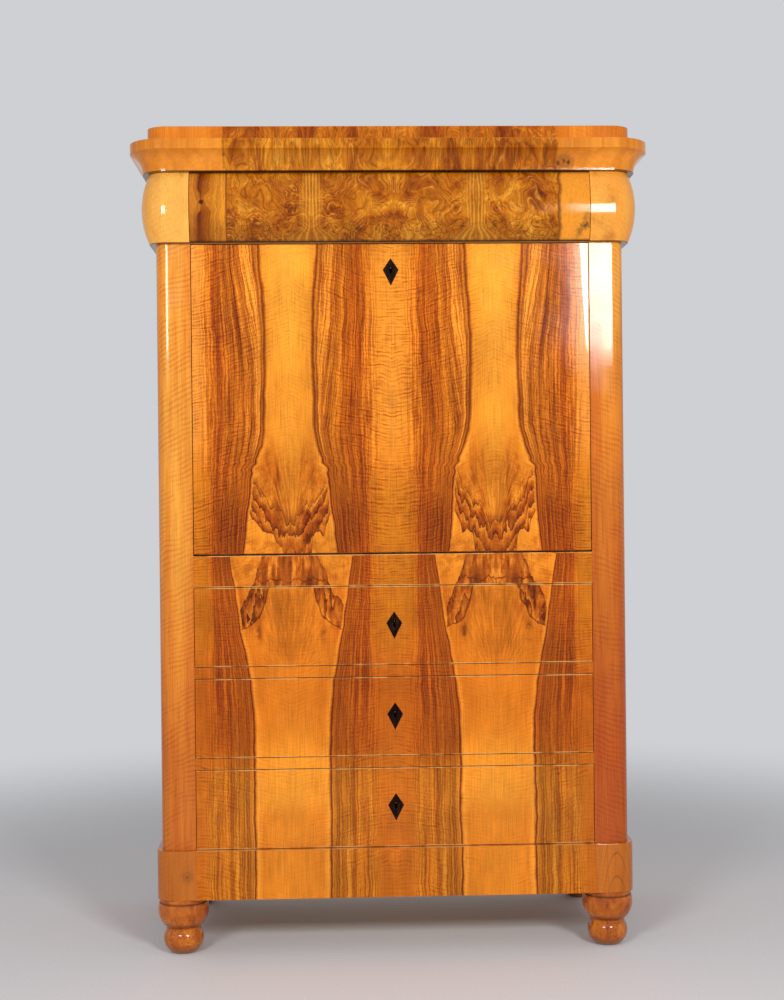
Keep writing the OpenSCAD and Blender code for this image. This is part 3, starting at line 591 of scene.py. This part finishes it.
def pale_veneer(name, tint_low, tint_high, knots=(), specular=0.36, low=None, arched=False):
    """Pale plain veneer with smudges, knots at (x, z), and painted shade under an edge at height low."""
    p = Paint(name)
    colour = plain_figure(p, tint_low, tint_high, 0.12)
    smudge = p.grain(11, 11, 9, detail=5, rough=0.68, twist=0.8)
    colour = p.over(colour, (168, 92, 24), p.fade(smudge, 0.56, 0.76, 0, 0.55))
    for x, z in knots:
        colour = knot(p, colour, x, z)
    if arched:
        colour = arched_grain(p, colour)
    if low is not None:
        colour = under_shade(p, colour, low)
    return polish(p, pores(p, colour, depth=0.2), specular=specular)


def side_veneer():
    """Sides: one tall leaf each, with broad streaks."""
    p = Paint("side_veneer")
    across = p.linear(p.grain(0, 3, 1.2), 0.1, p.y)
    broad = p.noise(p.vector(0, p.mul(across, 18), p.mul(p.z, 0.5)), detail=5, rough=0.65)
    stops = ((0.3, 170, 78, 12), (0.42, 208, 112, 26), (0.55, 230, 134, 38), (0.72, 244, 156, 54))
    colour = p.ramp(broad, stops)
    fine = p.noise(p.vector(0, p.mul(across, 150), p.mul(p.z, 2)), detail=3)
    colour = p.shade(colour, fine, 0.3, 0.65, 0.8, 1.04)
    sway = p.mul(p.grain(0, 7, 5, detail=3), 0.06)
    curl = curl_lines(p, p.add(p.z, sway, p.mul(p.y, 0.25)), 0.0098, p.stretched(0, 30, 46))
    colour = p.tint(colour, (206, 160, 116), curl, p.fade(p.grain(0, 9, 6), 0.42, 0.66), 0.55)
    return polish(p, pores(p, colour))


# Joint and leaf width of the burl on frieze and cornice, and where their other pieces of veneer begin
BURL_JOINT = -0.1505
BURL_LEAF = 0.157
CORNICE_JOINT = 0.15
CORNICE_LEAF = 0.155
STRIP_X = -0.3105
PALE_X = 0.32
SLAB_MIDDLE = 0.32


def burl_colour(p, x, z):
    """Burl: amber clouds, swirling fine lines, flecks and a few knots."""
    flat = p.vector(x, p.mul(p.x, 0.1), z)
    warp_x = p.centred(p.noise(flat, scale=14), 0.08)
    warp_z = p.centred(p.noise(p.vector(z, 5, x), scale=17), 0.075)
    bent = p.vector(p.add(x, warp_x), p.mul(p.x, 0.1), p.mul(p.add(z, warp_z), 0.75))
    clouds = p.noise(bent, scale=25, detail=6, rough=0.64)
    colour = p.ramp(clouds, (
        (0.28, 108, 44, 2), (0.4, 156, 76, 5), (0.5, 184, 102, 12), (0.6, 206, 126, 24), (0.72, 230, 154, 48),
    ))
    contour = p.math("FRACT", p.mul(p.noise(bent, scale=12, rough=0.45), 24))
    lit = p.fade(p.noise(flat, scale=28, detail=3), 0.44, 0.62)
    colour = p.over(colour, (232, 162, 62), p.near(contour, 0.5, 0, 0.2), lit, 0.48)
    colour = p.over(colour, (100, 40, 2), p.near(contour, 0.12, 0, 0.13), p.fade(lit, 0, 1, 0.55, 0.22))
    colour = p.shade(colour, p.noise(bent, scale=150, detail=3, rough=0.75), 0.32, 0.66, 0.76, 1.2)
    to_knot = p.cells(p.vector(x, p.mul(p.x, 0.3), p.linear(warp_z, 0.3, z)), 19)
    rings = p.mul(p.ripple(to_knot, 0.085), p.fade(to_knot, 0.24, 0.05))
    colour = p.shade(colour, p.linear(rings, 0.22, 1))
    return p.over(colour, (84, 32, 3), p.fade(to_knot, 0.02, 0.06, 0.75, 0))


def mirrored(p, joint, leaf):
    """Distance from the nearest book-matched joint."""
    return p.math("PINGPONG", p.sub(p.x, joint), leaf)


def frieze_veneer():
    """Frieze drawer: matched burl leaves, a dark strip at the left and a pale piece at the right."""
    p = Paint("frieze_veneer")
    right_joint = p.add(p.x, p.centred(p.noise(p.vector(2, 2, p.mul(p.z, 40))), 0.014))
    colour = p.over(frieze_burl(p), frieze_strip(p), p.above(STRIP_X, p.x))
    colour = p.over(colour, frieze_pale(p, right_joint), p.above(right_joint, PALE_X))
    low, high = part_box("frieze_drawer_front")
    # Painted shade along the frieze front's top and bottom edges, with a dark brown line in the last 2 mm
    gap = p.min(p.sub(p.z, low.z), p.sub(high.z, p.z))
    colour = p.shade(colour, gap, 0.001, 0.006, 0.6, 1)
    colour = p.over(colour, (62, 24, 4), p.fade(gap, 0.0006, 0.002, 0.85, 0))
    edge_wood = p.ramp(p.grain(3, 60, 60, detail=4), ((0.3, 150, 88, 34), (0.7, 206, 138, 66)))
    colour = p.over(colour, edge_wood, p.fade(p.sub(high.z, p.z), 0.0004, 0.0001))
    return polish(p, pores(p, colour))


def frieze_burl(p):
    """The burl leaves of the frieze, with the lines, eyes and swirls of their lower edge."""
    off = mirrored(p, BURL_JOINT, BURL_LEAF)
    burl = burl_colour(p, off, p.z)
    # Pale lines run down beside each joint and spread apart near the lower edge
    beside = p.math("DIVIDE", off, p.rise(1.392, 1.366, 1, 2.6))
    lines = p.ripple(p.linear(p.leaf_noise(off, 25, 1.5, 11), 0.007, beside), 0.0058)
    at_joint = p.mul(p.fade(beside, 0.027, 0.006), p.fade(p.grain(60, 0, 14, detail=3), 0.3, 0.55, 0.45, 1))
    burl = p.over(burl, (200, 124, 26), at_joint, 0.5)
    burl = p.over(burl, (236, 170, 66), at_joint, p.fade(lines, 0.2, 1, 0, 0.55))
    burl = p.over(burl, (140, 70, 6), at_joint, p.fade(lines, -0.4, -1, 0, 0.42))
    # An eye on each side of the joints, and dark swirls along the lower edge
    to_eye = p.hypotenuse(p.sub(off, 0.039), p.mul(p.sub(p.z, 1.424), 0.8))
    uneven = p.linear(p.grain(70, 0, 70, detail=3), 0.012, to_eye)
    burl = p.shade(burl, p.linear(p.ripple(uneven, 0.0062), p.fade(to_eye, 0.021, 0.007, 0, 0.26), 1))
    burl = p.over(burl, (88, 34, 3), p.fade(to_eye, 0.0012, 0.0036, 0.8, 0))
    swirl_place = p.vector(off, p.mul(p.x, 0.2), p.mul(p.z, 1.5))
    swirl = p.math("FRACT", p.mul(p.noise(swirl_place, scale=26), 9))
    swirl = p.mul(p.near(swirl, 0.5, 0, 0.2), p.rise(1.412, 1.396))
    burl = p.over(burl, (92, 36, 2), swirl, p.fade(beside, 0.012, 0.024, 0, 0.6))
    height = p.linear(p.grain(18, 0, 18, detail=3), 0.04, p.z)
    return p.shade(burl, height, 1.395, 1.435, 0.76, 1)


def frieze_strip(p):
    """Dark figured strip at the frieze's left end, with one knot."""
    knot_x = p.sub(p.x, -0.359)
    to_knot = p.hypotenuse(knot_x, p.sub(p.z, 1.437))
    sway = p.centred(p.noise(p.flat_place(p.x, 16, 15, 2), detail=4, rough=0.6), 0.034)
    round_knot = p.mul(p.fade(to_knot, 0.03, 0.003, 0, 0.009), p.math("SIGN", knot_x))
    along = p.add(p.x, sway, round_knot)
    strip = p.ramp(along, (
        (-0.39, 206, 122, 32), (-0.371, 214, 126, 34), (-0.364, 120, 48, 4), (-0.356, 140, 62, 6),
        (-0.349, 178, 92, 12), (-0.34, 190, 108, 18), (-0.333, 228, 142, 36), (-0.314, 232, 144, 38),
    ))
    fine = p.noise(p.flat_place(along, 190, 4), detail=4, rough=0.7)
    strip = p.shade(strip, fine, 0.32, 0.66, 0.52, 1.08)
    strip = p.over(strip, (120, 56, 6), p.rise(1.43, 1.375, 0, 0.45))
    strip = p.over(strip, (66, 22, 3), p.fade(to_knot, 0.003, 0.0056, 0.95, 0))
    return p.over(strip, (104, 44, 4), p.fade(p.x, -0.3145, -0.312, 0, 0.8))


def frieze_pale(p, right_joint):
    """Pale piece at the frieze's right end, smudged at its lower corner and dark at its joint."""
    smudge = p.noise(p.flat_place(p.x, 30, 24, 5), detail=4, rough=0.7)
    low_corner = p.mul(p.rise(1.43, 1.39), p.fade(p.x, 0.345, 0.372))
    pale = p.over((232, 146, 42), (104, 74, 34), p.fade(smudge, 0.44, 0.62), low_corner)
    return p.over(pale, (112, 50, 6), p.fade(right_joint, 0.322, 0.33, 0.85, 0))


def cornice_burl(p):
    """Upright burl grain of the cove, its flat edge and the middle of the slab."""
    off = mirrored(p, CORNICE_JOINT, CORNICE_LEAF)
    tall = p.mul(p.linear(p.y, 0.5, p.z), 0.62)
    colour = burl_colour(p, off, tall)
    threads = p.noise(p.vector(p.mul(off, 170), 3, p.mul(tall, 14)), detail=4, rough=0.66)
    colour = p.shade(colour, threads, 0.32, 0.64, 0.74, 1.08)
    joint = p.linear(p.grain(0, 0, 30), 0.003, off)
    return p.over(colour, (110, 50, 4), p.fade(joint, 0.0016, 0.003, 0.6, 0))


def cornice_front_veneer():
    """Cornice: burl on its cove and edge, and plain wood on its ledge."""
    p = Paint("cornice_burl")
    low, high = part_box("cornice_front")
    ledge = p.ramp(p.grain(2, 50, 50, detail=4, rough=0.6), ((0.3, 150, 76, 18), (0.7, 206, 122, 42)))
    colour = p.over(cornice_burl(p), ledge, p.rise(high.z - 0.0009, high.z - 0.0004))
    return polish(p, pores(p, under_shade(p, colour, low.z)))


def slab_veneer():
    """Top slab: figured middle between plain ends at its edges, and plain dusty wood on top."""
    p = Paint("slab_veneer")
    middle = p.tint(cornice_burl(p), (250, 226, 196), 1)
    ends = plain_figure(p, (208, 108, 18), (238, 142, 40), 0.16)
    crooked = p.linear(p.noise(p.vector(0, 1, p.mul(p.z, 60))), 0.004, p.abs(p.x))
    share = p.max(p.above(crooked, SLAB_MIDDLE), p.above(p.y, 0.2))
    grain = p.grain(1.6, 42, 42, detail=5, rough=0.62, twist=0.3)
    top = p.ramp(grain, ((0.3, 168, 88, 24), (0.48, 202, 116, 38), (0.7, 224, 144, 62)))
    top = p.shade(top, p.noise(scale=5, detail=4, rough=0.6), 0.3, 0.7, 0.84, 1.05)
    top_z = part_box("top_slab")[1].z
    on_top = p.rise(top_z - 0.0009, top_z - 0.0004)
    return polish(p, pores(p, p.over(p.over(middle, ends, share), top, on_top)), dull=on_top)


def turned_walnut():
    """Feet: solid red-brown wood with mottled figure and specks, rubbed bare near the floor."""
    p = Paint("turned_walnut")
    mottle = p.grain(36, 36, 20, detail=5, rough=0.66, twist=0.6)
    stops = ((0.28, 128, 54, 6), (0.42, 176, 86, 14), (0.55, 202, 108, 22), (0.72, 228, 140, 42))
    colour = p.ramp(mottle, stops)
    specks = p.noise(scale=210, detail=3, rough=0.7)
    colour = p.over(colour, (62, 28, 8), p.fade(specks, 0.57, 0.66), p.rise(0.075, 0.05, 0.35, 0.85))
    dark_rings = p.max(p.near(p.z, 0.0995, 0.001, 0.004), p.near(p.z, 0.055, 0.002, 0.008))
    colour = p.over(colour, (90, 38, 8), dark_rings, 0.5)
    colour = p.over(colour, (150, 86, 34), p.rise(0.024, 0.004))
    return polish(p, colour, specular=0.4)


def scales(along, slow, fast):
    """Texture scales for x, y and z: slow along the grain and fast across it."""
    return [slow if axis == along else fast for axis in "xyz"]


def softwood(name, along, boards=0.0, box=None):
    """Bare aged softwood with the grain along one axis.

    boards is the width of each of five upright boards, with seams between them.
    box is a drawer box, whose front and back boards have their grain along x.
    """
    p = Paint(name)
    x_scale, y_scale, z_scale = scales(along, 2.2, 60)
    shift = 0.0
    if boards:
        from_edge = p.add(p.x, 2.5 * boards)
        shift = p.mul(p.math("FLOOR", p.mul(from_edge, 1 / boards)), 1.37)
    place = p.vector(p.linear(p.x, x_scale, shift), p.mul(p.y, y_scale), p.linear(p.z, z_scale, shift))
    rings = p.noise(place, detail=4, rough=0.55, twist=0.4)
    if box:
        low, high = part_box(box)
        from_end = p.min(p.sub(p.y, low.y), p.sub(high.y, p.y))
        cross = p.grain(2.2, 60, 60, detail=4, rough=0.55, twist=0.4)
        rings = p.linear(p.above(0.0125, from_end), p.sub(cross, rings), rings)
    colour = p.ramp(rings, ((0.3, 156, 104, 52), (0.45, 190, 140, 82), (0.7, 214, 170, 110)))
    if boards:
        tone = p.noise(p.vector(shift, 8, 3), scale=2.9, detail=0)
        colour = p.over(p.tint(colour, (222, 208, 192), 1), colour, p.fade(tone, 0.3, 0.7))
        seam = p.math("PINGPONG", from_edge, boards / 2)
        colour = p.shade(colour, seam, 0.0006, 0.0022, 0.3, 1)
    colour = p.shade(colour, p.noise(scale=9, detail=5, rough=0.7), 0.3, 0.7, 0.82, 1.04)
    saw = p.grain(x_scale * 6, y_scale * 6, z_scale * 6)
    return p.finish(colour, p.fade(rings, 0.3, 0.7, 0.78, 0.6), p.bump(saw, 0.35, 0.0006), specular=0.3)


def inner_veneer(name, along):
    """Pale curly wood of the writing compartment, with a thin satin polish."""
    p = Paint(name)
    grain = p.grain(*scales(along, 1.6, 34), detail=5, rough=0.6)
    colour = p.ramp(grain, ((0.3, 190, 122, 56), (0.5, 222, 158, 84), (0.72, 238, 184, 112)))
    run = {"x": p.x, "y": p.y, "z": p.z}[along]
    curl = p.ripple(p.linear(p.noise(scale=8), 0.04, run), 0.009)
    colour = p.shade(colour, p.linear(curl, p.fade(p.noise(scale=12), 0.38, 0.62, 0, 0.05), 1))
    roughness = p.fade(p.noise(scale=16, detail=4, rough=0.7), 0.3, 0.7, 0.26, 0.42)
    return p.finish(colour, roughness, p.bump(p.noise(scale=500, detail=1), 0.08, 0.0002), specular=0.4)


def aged_brass(name="aged_brass", keyhole_shade=False):
    """Brass with brown tarnish. Locks get painted shade, nearly black, on their face behind the keyhole."""
    p = Paint(name)
    tarnish = p.noise(scale=60, detail=5, rough=0.7)
    colour = p.ramp(tarnish, ((0.3, 120, 84, 40), (0.5, 186, 144, 74), (0.7, 214, 176, 100)))
    if keyhole_shade:
        # Painted shade on the lock's face behind the keyhole
        facing = p.new("ShaderNodeSeparateXYZ")
        p.put(facing.inputs[0], p.new("ShaderNodeNewGeometry").outputs["Normal"])
        front = p.above(-0.5, facing.outputs[1])
        colour = p.over(colour, (16, 10, 6), front, p.above(0.0036, p.abs(p.x)))
    brushed = p.bump(p.grain(2500, 120, 120, detail=1), 0.12, 0.0001)
    return p.finish(colour, p.fade(tarnish, 0.3, 0.7, 0.48, 0.28), brushed, metallic=1.0)


def dark_iron():
    p = Paint("dark_iron")
    rust = p.noise(scale=140, detail=5, rough=0.7)
    colour = p.ramp(rust, ((0.35, 70, 66, 62), (0.55, 112, 106, 98), (0.72, 120, 84, 58)))
    return p.finish(colour, p.fade(rust, 0.3, 0.7, 0.35, 0.62), p.bump(rust, 0.25, 0.0002), metallic=0.9)


def ebonised_wood():
    """Black-stained pearwood of the diamonds and small knobs, brown where hands have worn it."""
    p = Paint("ebonised_wood")
    grain = p.grain(220, 220, 40, detail=3, rough=0.6, twist=0.8)
    colour = p.ramp(grain, ((0.3, 10, 4, 2), (0.55, 28, 13, 7), (0.75, 60, 30, 14)))
    return p.finish(colour, p.fade(grain, 0.3, 0.7, 0.22, 0.36), p.bump(grain, 0.1, 0.0002), specular=0.05)


def green_leather():
    """Writing leather: pebbled grain, worn in the middle, with two gilt lines round its edge."""
    p = Paint("green_leather")
    low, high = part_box("writing_leather")
    from_end = p.sub((high.z - low.z) / 2, p.abs(p.sub(p.z, (low.z + high.z) / 2)))
    inset = p.min(p.sub(high.x, p.abs(p.x)), from_end)
    rub = p.noise(scale=7, detail=5, rough=0.65)
    colour = p.ramp(rub, ((0.3, 34, 52, 34), (0.52, 50, 72, 46), (0.72, 84, 96, 58)))
    outer = p.near(inset, 0.012, 0.0009, 0.0013)
    inner = p.near(inset, 0.02, 0.0004, 0.0008)
    gilt = p.mul(p.max(outer, inner), p.fade(p.noise(scale=90, detail=3), 0.28, 0.5))
    colour = p.over(colour, (196, 156, 82), gilt)
    pressed = p.bump(gilt, -0.4, 0.0003, p.bump(p.cells(p.place, 620), 0.35, 0.0004))
    return p.finish(colour, p.fade(rub, 0.3, 0.7, 0.5, 0.36), pressed)


def add_object(name, made, material):
    """Puts a bmesh into the scene as an object."""
    mesh = bpy.data.meshes.new(name)
    made.to_mesh(mesh)
    made.free()
    mesh.materials.append(material)
    thing = bpy.data.objects.new(name, mesh)
    bpy.context.scene.collection.objects.link(thing)
    return thing


def assign(material, *names):
    """Gives CAD nodes their material."""
    for name in names:
        mesh = cad[name].data
        mesh.materials.clear()
        mesh.materials.append(material)


def soften_edges(name):
    """Rounds the sharp edges of a CAD node a little, as sanding does."""
    node = cad[name]
    weld = node.modifiers.new("weld", "WELD")
    weld.merge_threshold = 0.00001
    bevel = node.modifiers.new("soft_edges", "BEVEL")
    bevel.width = EDGE_ROUNDING
    bevel.segments = 2
    bevel.limit_method = "ANGLE"
    bevel.angle_limit = math.radians(40)


def disc(made, centre, radius, height, axis, slot_angle=None):
    """Adds a low domed head that points along axis, with a slot where slot_angle is given."""
    turn = Vector((0, 0, 1)).rotation_difference(Vector(axis)).to_matrix()
    rows = []
    for share, rise in ((1, 0), (1, 0.45), (0.86, 0.82), (0.5, 1)):
        row = []
        for step in range(16):
            angle = step * math.pi / 8
            x, y = math.cos(angle) * radius * share, math.sin(angle) * radius * share
            z = rise * height
            if slot_angle is not None and rise > 0.5:
                across = -x * math.sin(slot_angle) + y * math.cos(slot_angle)
                if abs(across) < radius * 0.16:
                    z = 0.2 * height
            row.append(made.verts.new(Vector(centre) + turn @ Vector((x, y, z))))
        rows.append(row)
    for low, high in zip(rows, rows[1:]):
        for step in range(16):
            after = (step + 1) % 16
            made.faces.new((low[step], low[after], high[after], high[step]))
    made.faces.new(rows[-1])
    made.faces.new(rows[0][::-1])


def heads(name, body, material, places, radius, height, axis, slotted=False):
    """One piece of screw, nail or pin heads that ride on a body."""
    made = bmesh.new()
    for number, place in enumerate(places):
        disc(made, place, radius, height, axis, 0.4 + number * 1.1 if slotted else None)
    piece = add_object(name, made, material)
    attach(piece, body)


def add_small_fittings(brass, iron):
    """Pins in the keyholes, screws of the fall's lock, and nails in the back boards."""
    for body, number in (("fall", 0), ("drawer_1", 1), ("drawer_2", 2), ("drawer_3", 3)):
        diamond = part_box("drawer_escutcheon_%d" % number if number else "fall_escutcheon")
        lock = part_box("drawer_lock_%d" % number if number else "fall_lock")
        key_z = diamond[0].z + 0.65 * (diamond[1].z - diamond[0].z)
        bottom = lock[1].y - 0.002
        length = bottom - diamond[0].y - 0.0015
        heads("key_pin_%s" % body, body, brass, [(0.0, bottom, key_z)], 0.0013, length, (0, -1, 0))
    low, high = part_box("fall_lock")
    heights = (low.z + 0.007, high.z - 0.012)
    corners = [(x, high.y, z) for x in (low.x + 0.007, high.x - 0.007) for z in heights]
    heads("fall_lock_screws", "fall", iron, corners, 0.0032, 0.0007, (0, 1, 0), slotted=True)
    low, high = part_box("back_boards")
    board = (high.x - low.x) / 5
    places = []
    for row, z in enumerate((low.z + 0.01, 0.757, 1.372, high.z - 0.012)):
        for column in range(5):
            for side in (0.022, board - 0.024):
                offset = 0.002 * math.sin(7.1 * row + 3.3 * column + 90 * side)
                places.append((low.x + column * board + side + offset, high.y, z + offset))
    heads("back_nails", "carcass", iron, places, 0.003, 0.0004, (0, 1, 0))


def add_floor():
    """Pale floor that keeps the shadow and fades into the backdrop's colour with distance."""
    made = bmesh.new()
    bmesh.ops.create_grid(made, x_segments=1, y_segments=1, size=40.0)
    p = Paint("studio_floor")
    weave = p.noise(scale=260, detail=3, rough=0.7)
    p.finish(p.ramp(weave, ((0.3, 228, 229, 231), (0.7, 242, 243, 245))), 0.95, specular=0.1)
    far = p.new("ShaderNodeEmission")
    far.inputs["Color"].default_value = BACKDROP
    away = p.fade(p.hypotenuse(p.x, p.y), 1, 2.6)
    blend = p.fill(p.new("ShaderNodeMixShader"), away, p.shader.outputs[0], far.outputs[0])
    p.put(p.tree.nodes["Material Output"].inputs[0], blend)
    floor = add_object("floor", made, p.material)


def light_scene():
    """Two softboxes beside the camera and an even sky that shows as the pale backdrop."""
    for name, x, width, power in (("softbox_left", -1.28, 0.8, 34.0), ("softbox_right", 1.12, 0.66, 42.0)):
        data = bpy.data.lights.new(name, "AREA")
        data.shape = "RECTANGLE"
        data.size, data.size_y = width, 0.6
        data.energy = power
        lamp = bpy.data.objects.new(name, data)
        lamp.location = (x, -3, 1.72)
        lamp.rotation_euler = (Vector((0.0, -0.2, 1.1)) - lamp.location).to_track_quat("-Z", "Y").to_euler()
        bpy.context.scene.collection.objects.link(lamp)
    world = bpy.data.worlds.new("studio")
    world.use_nodes = True
    bpy.context.scene.world = world
    tree = world.node_tree
    rays = tree.nodes.new("ShaderNodeLightPath")
    shown = rays.outputs["Is Camera Ray"]
    for kind in ("Is Transmission Ray", "Is Glossy Ray"):
        either = tree.nodes.new("ShaderNodeMath")
        either.operation = "MAXIMUM"
        tree.links.new(shown, either.inputs[0])
        tree.links.new(rays.outputs[kind], either.inputs[1])
        shown = either.outputs[0]
    colour = tree.nodes.new("ShaderNodeMix")
    colour.data_type = "RGBA"
    tree.links.new(shown, colour.inputs[0])
    colour.inputs[6].default_value = SKY_LIGHT
    colour.inputs[7].default_value = BACKDROP
    tree.links.new(colour.outputs[2], tree.nodes["Background"].inputs["Color"])


def dress():
    """Every CAD node's finish."""
    figured = figured_veneer("figured_veneer", plain_walnut)
    assign(figured, "fall_panel", "fall_rail", "drawer_rails", "plinth_front")
    assign(figured_veneer("drawer_veneer", plain_softwood), *numbered("drawer_front", 3))
    assign(frieze_veneer(), "frieze_drawer_front")
    assign(cornice_front_veneer(), "cornice_front")
    assign(slab_veneer(), "top_slab")
    knots = ((0.321, 1.5085), (0.332, 1.512), (0.341, 1.5105))
    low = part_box("cornice_returns")[0].z
    cornice_end = pale_veneer("cornice_end_veneer", (206, 118, 26), (236, 146, 42), knots, 0.28, low)
    assign(cornice_end, "cornice_returns")
    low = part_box("frieze_end_left")[0].z
    assign(pale_veneer("frieze_end_veneer", (244, 168, 68), (252, 188, 86), low=low), "frieze_end_left")
    assign(pale_veneer("frieze_block_veneer", (236, 152, 52), (246, 168, 66), low=low), "frieze_end_right")
    knots = ((-0.4006, 0.154),)
    plinth_end = pale_veneer("plinth_end_veneer", (184, 96, 14), (206, 116, 28), knots, arched=True)
    assign(plinth_end, "plinth_sides")
    assign(post_veneer(), "corner_post_left", "corner_post_right")
    assign(side_veneer(), "side_panel_left", "side_panel_right")
    assign(turned_walnut(), "front_feet", "rear_feet")
    assign(softwood("back_softwood", "z", boards=BACK_BOARD_WIDTH), "back_boards")
    assign(softwood("carcass_softwood", "x"), "carcass_top", "base_board", "foot_blocks")
    assign(softwood("runner_softwood", "y"), "drawer_runners")
    assign(softwood("drawer_softwood", "y", box="drawer_box_1"), *numbered("drawer_box", 3))
    assign(softwood("frieze_softwood", "y", box="frieze_drawer_box"), "frieze_drawer_box")
    assign(inner_veneer("upright_maple", "z"), "gallery_uprights", "compartment_sides")
    level = inner_veneer("level_maple", "x")
    assign(level, "gallery_shelves", "desk_board", "ceiling_board", *numbered("small_drawer", 4))
    brass, iron = aged_brass(), dark_iron()
    assign(brass, "post_hinge_plates", "fall_hinge_leaves", "stay_quadrants")
    assign(aged_brass("lock_brass", keyhole_shade=True), "fall_lock", *numbered("drawer_lock", 3))
    assign(iron, "stay_pins", "fall_bolt", *numbered("drawer_bolt", 3))
    assign(ebonised_wood(), "fall_escutcheon", *numbered("drawer_escutcheon", 3), *numbered("small_knob", 4))
    assign(green_leather(), "writing_leather")
    for name in SOFT_EDGED:
        soften_edges(name)
    add_small_fittings(brass, iron)


add_camera()
bpy.context.scene.view_settings.view_transform = "Standard"
light_scene()
add_floor()
dress()
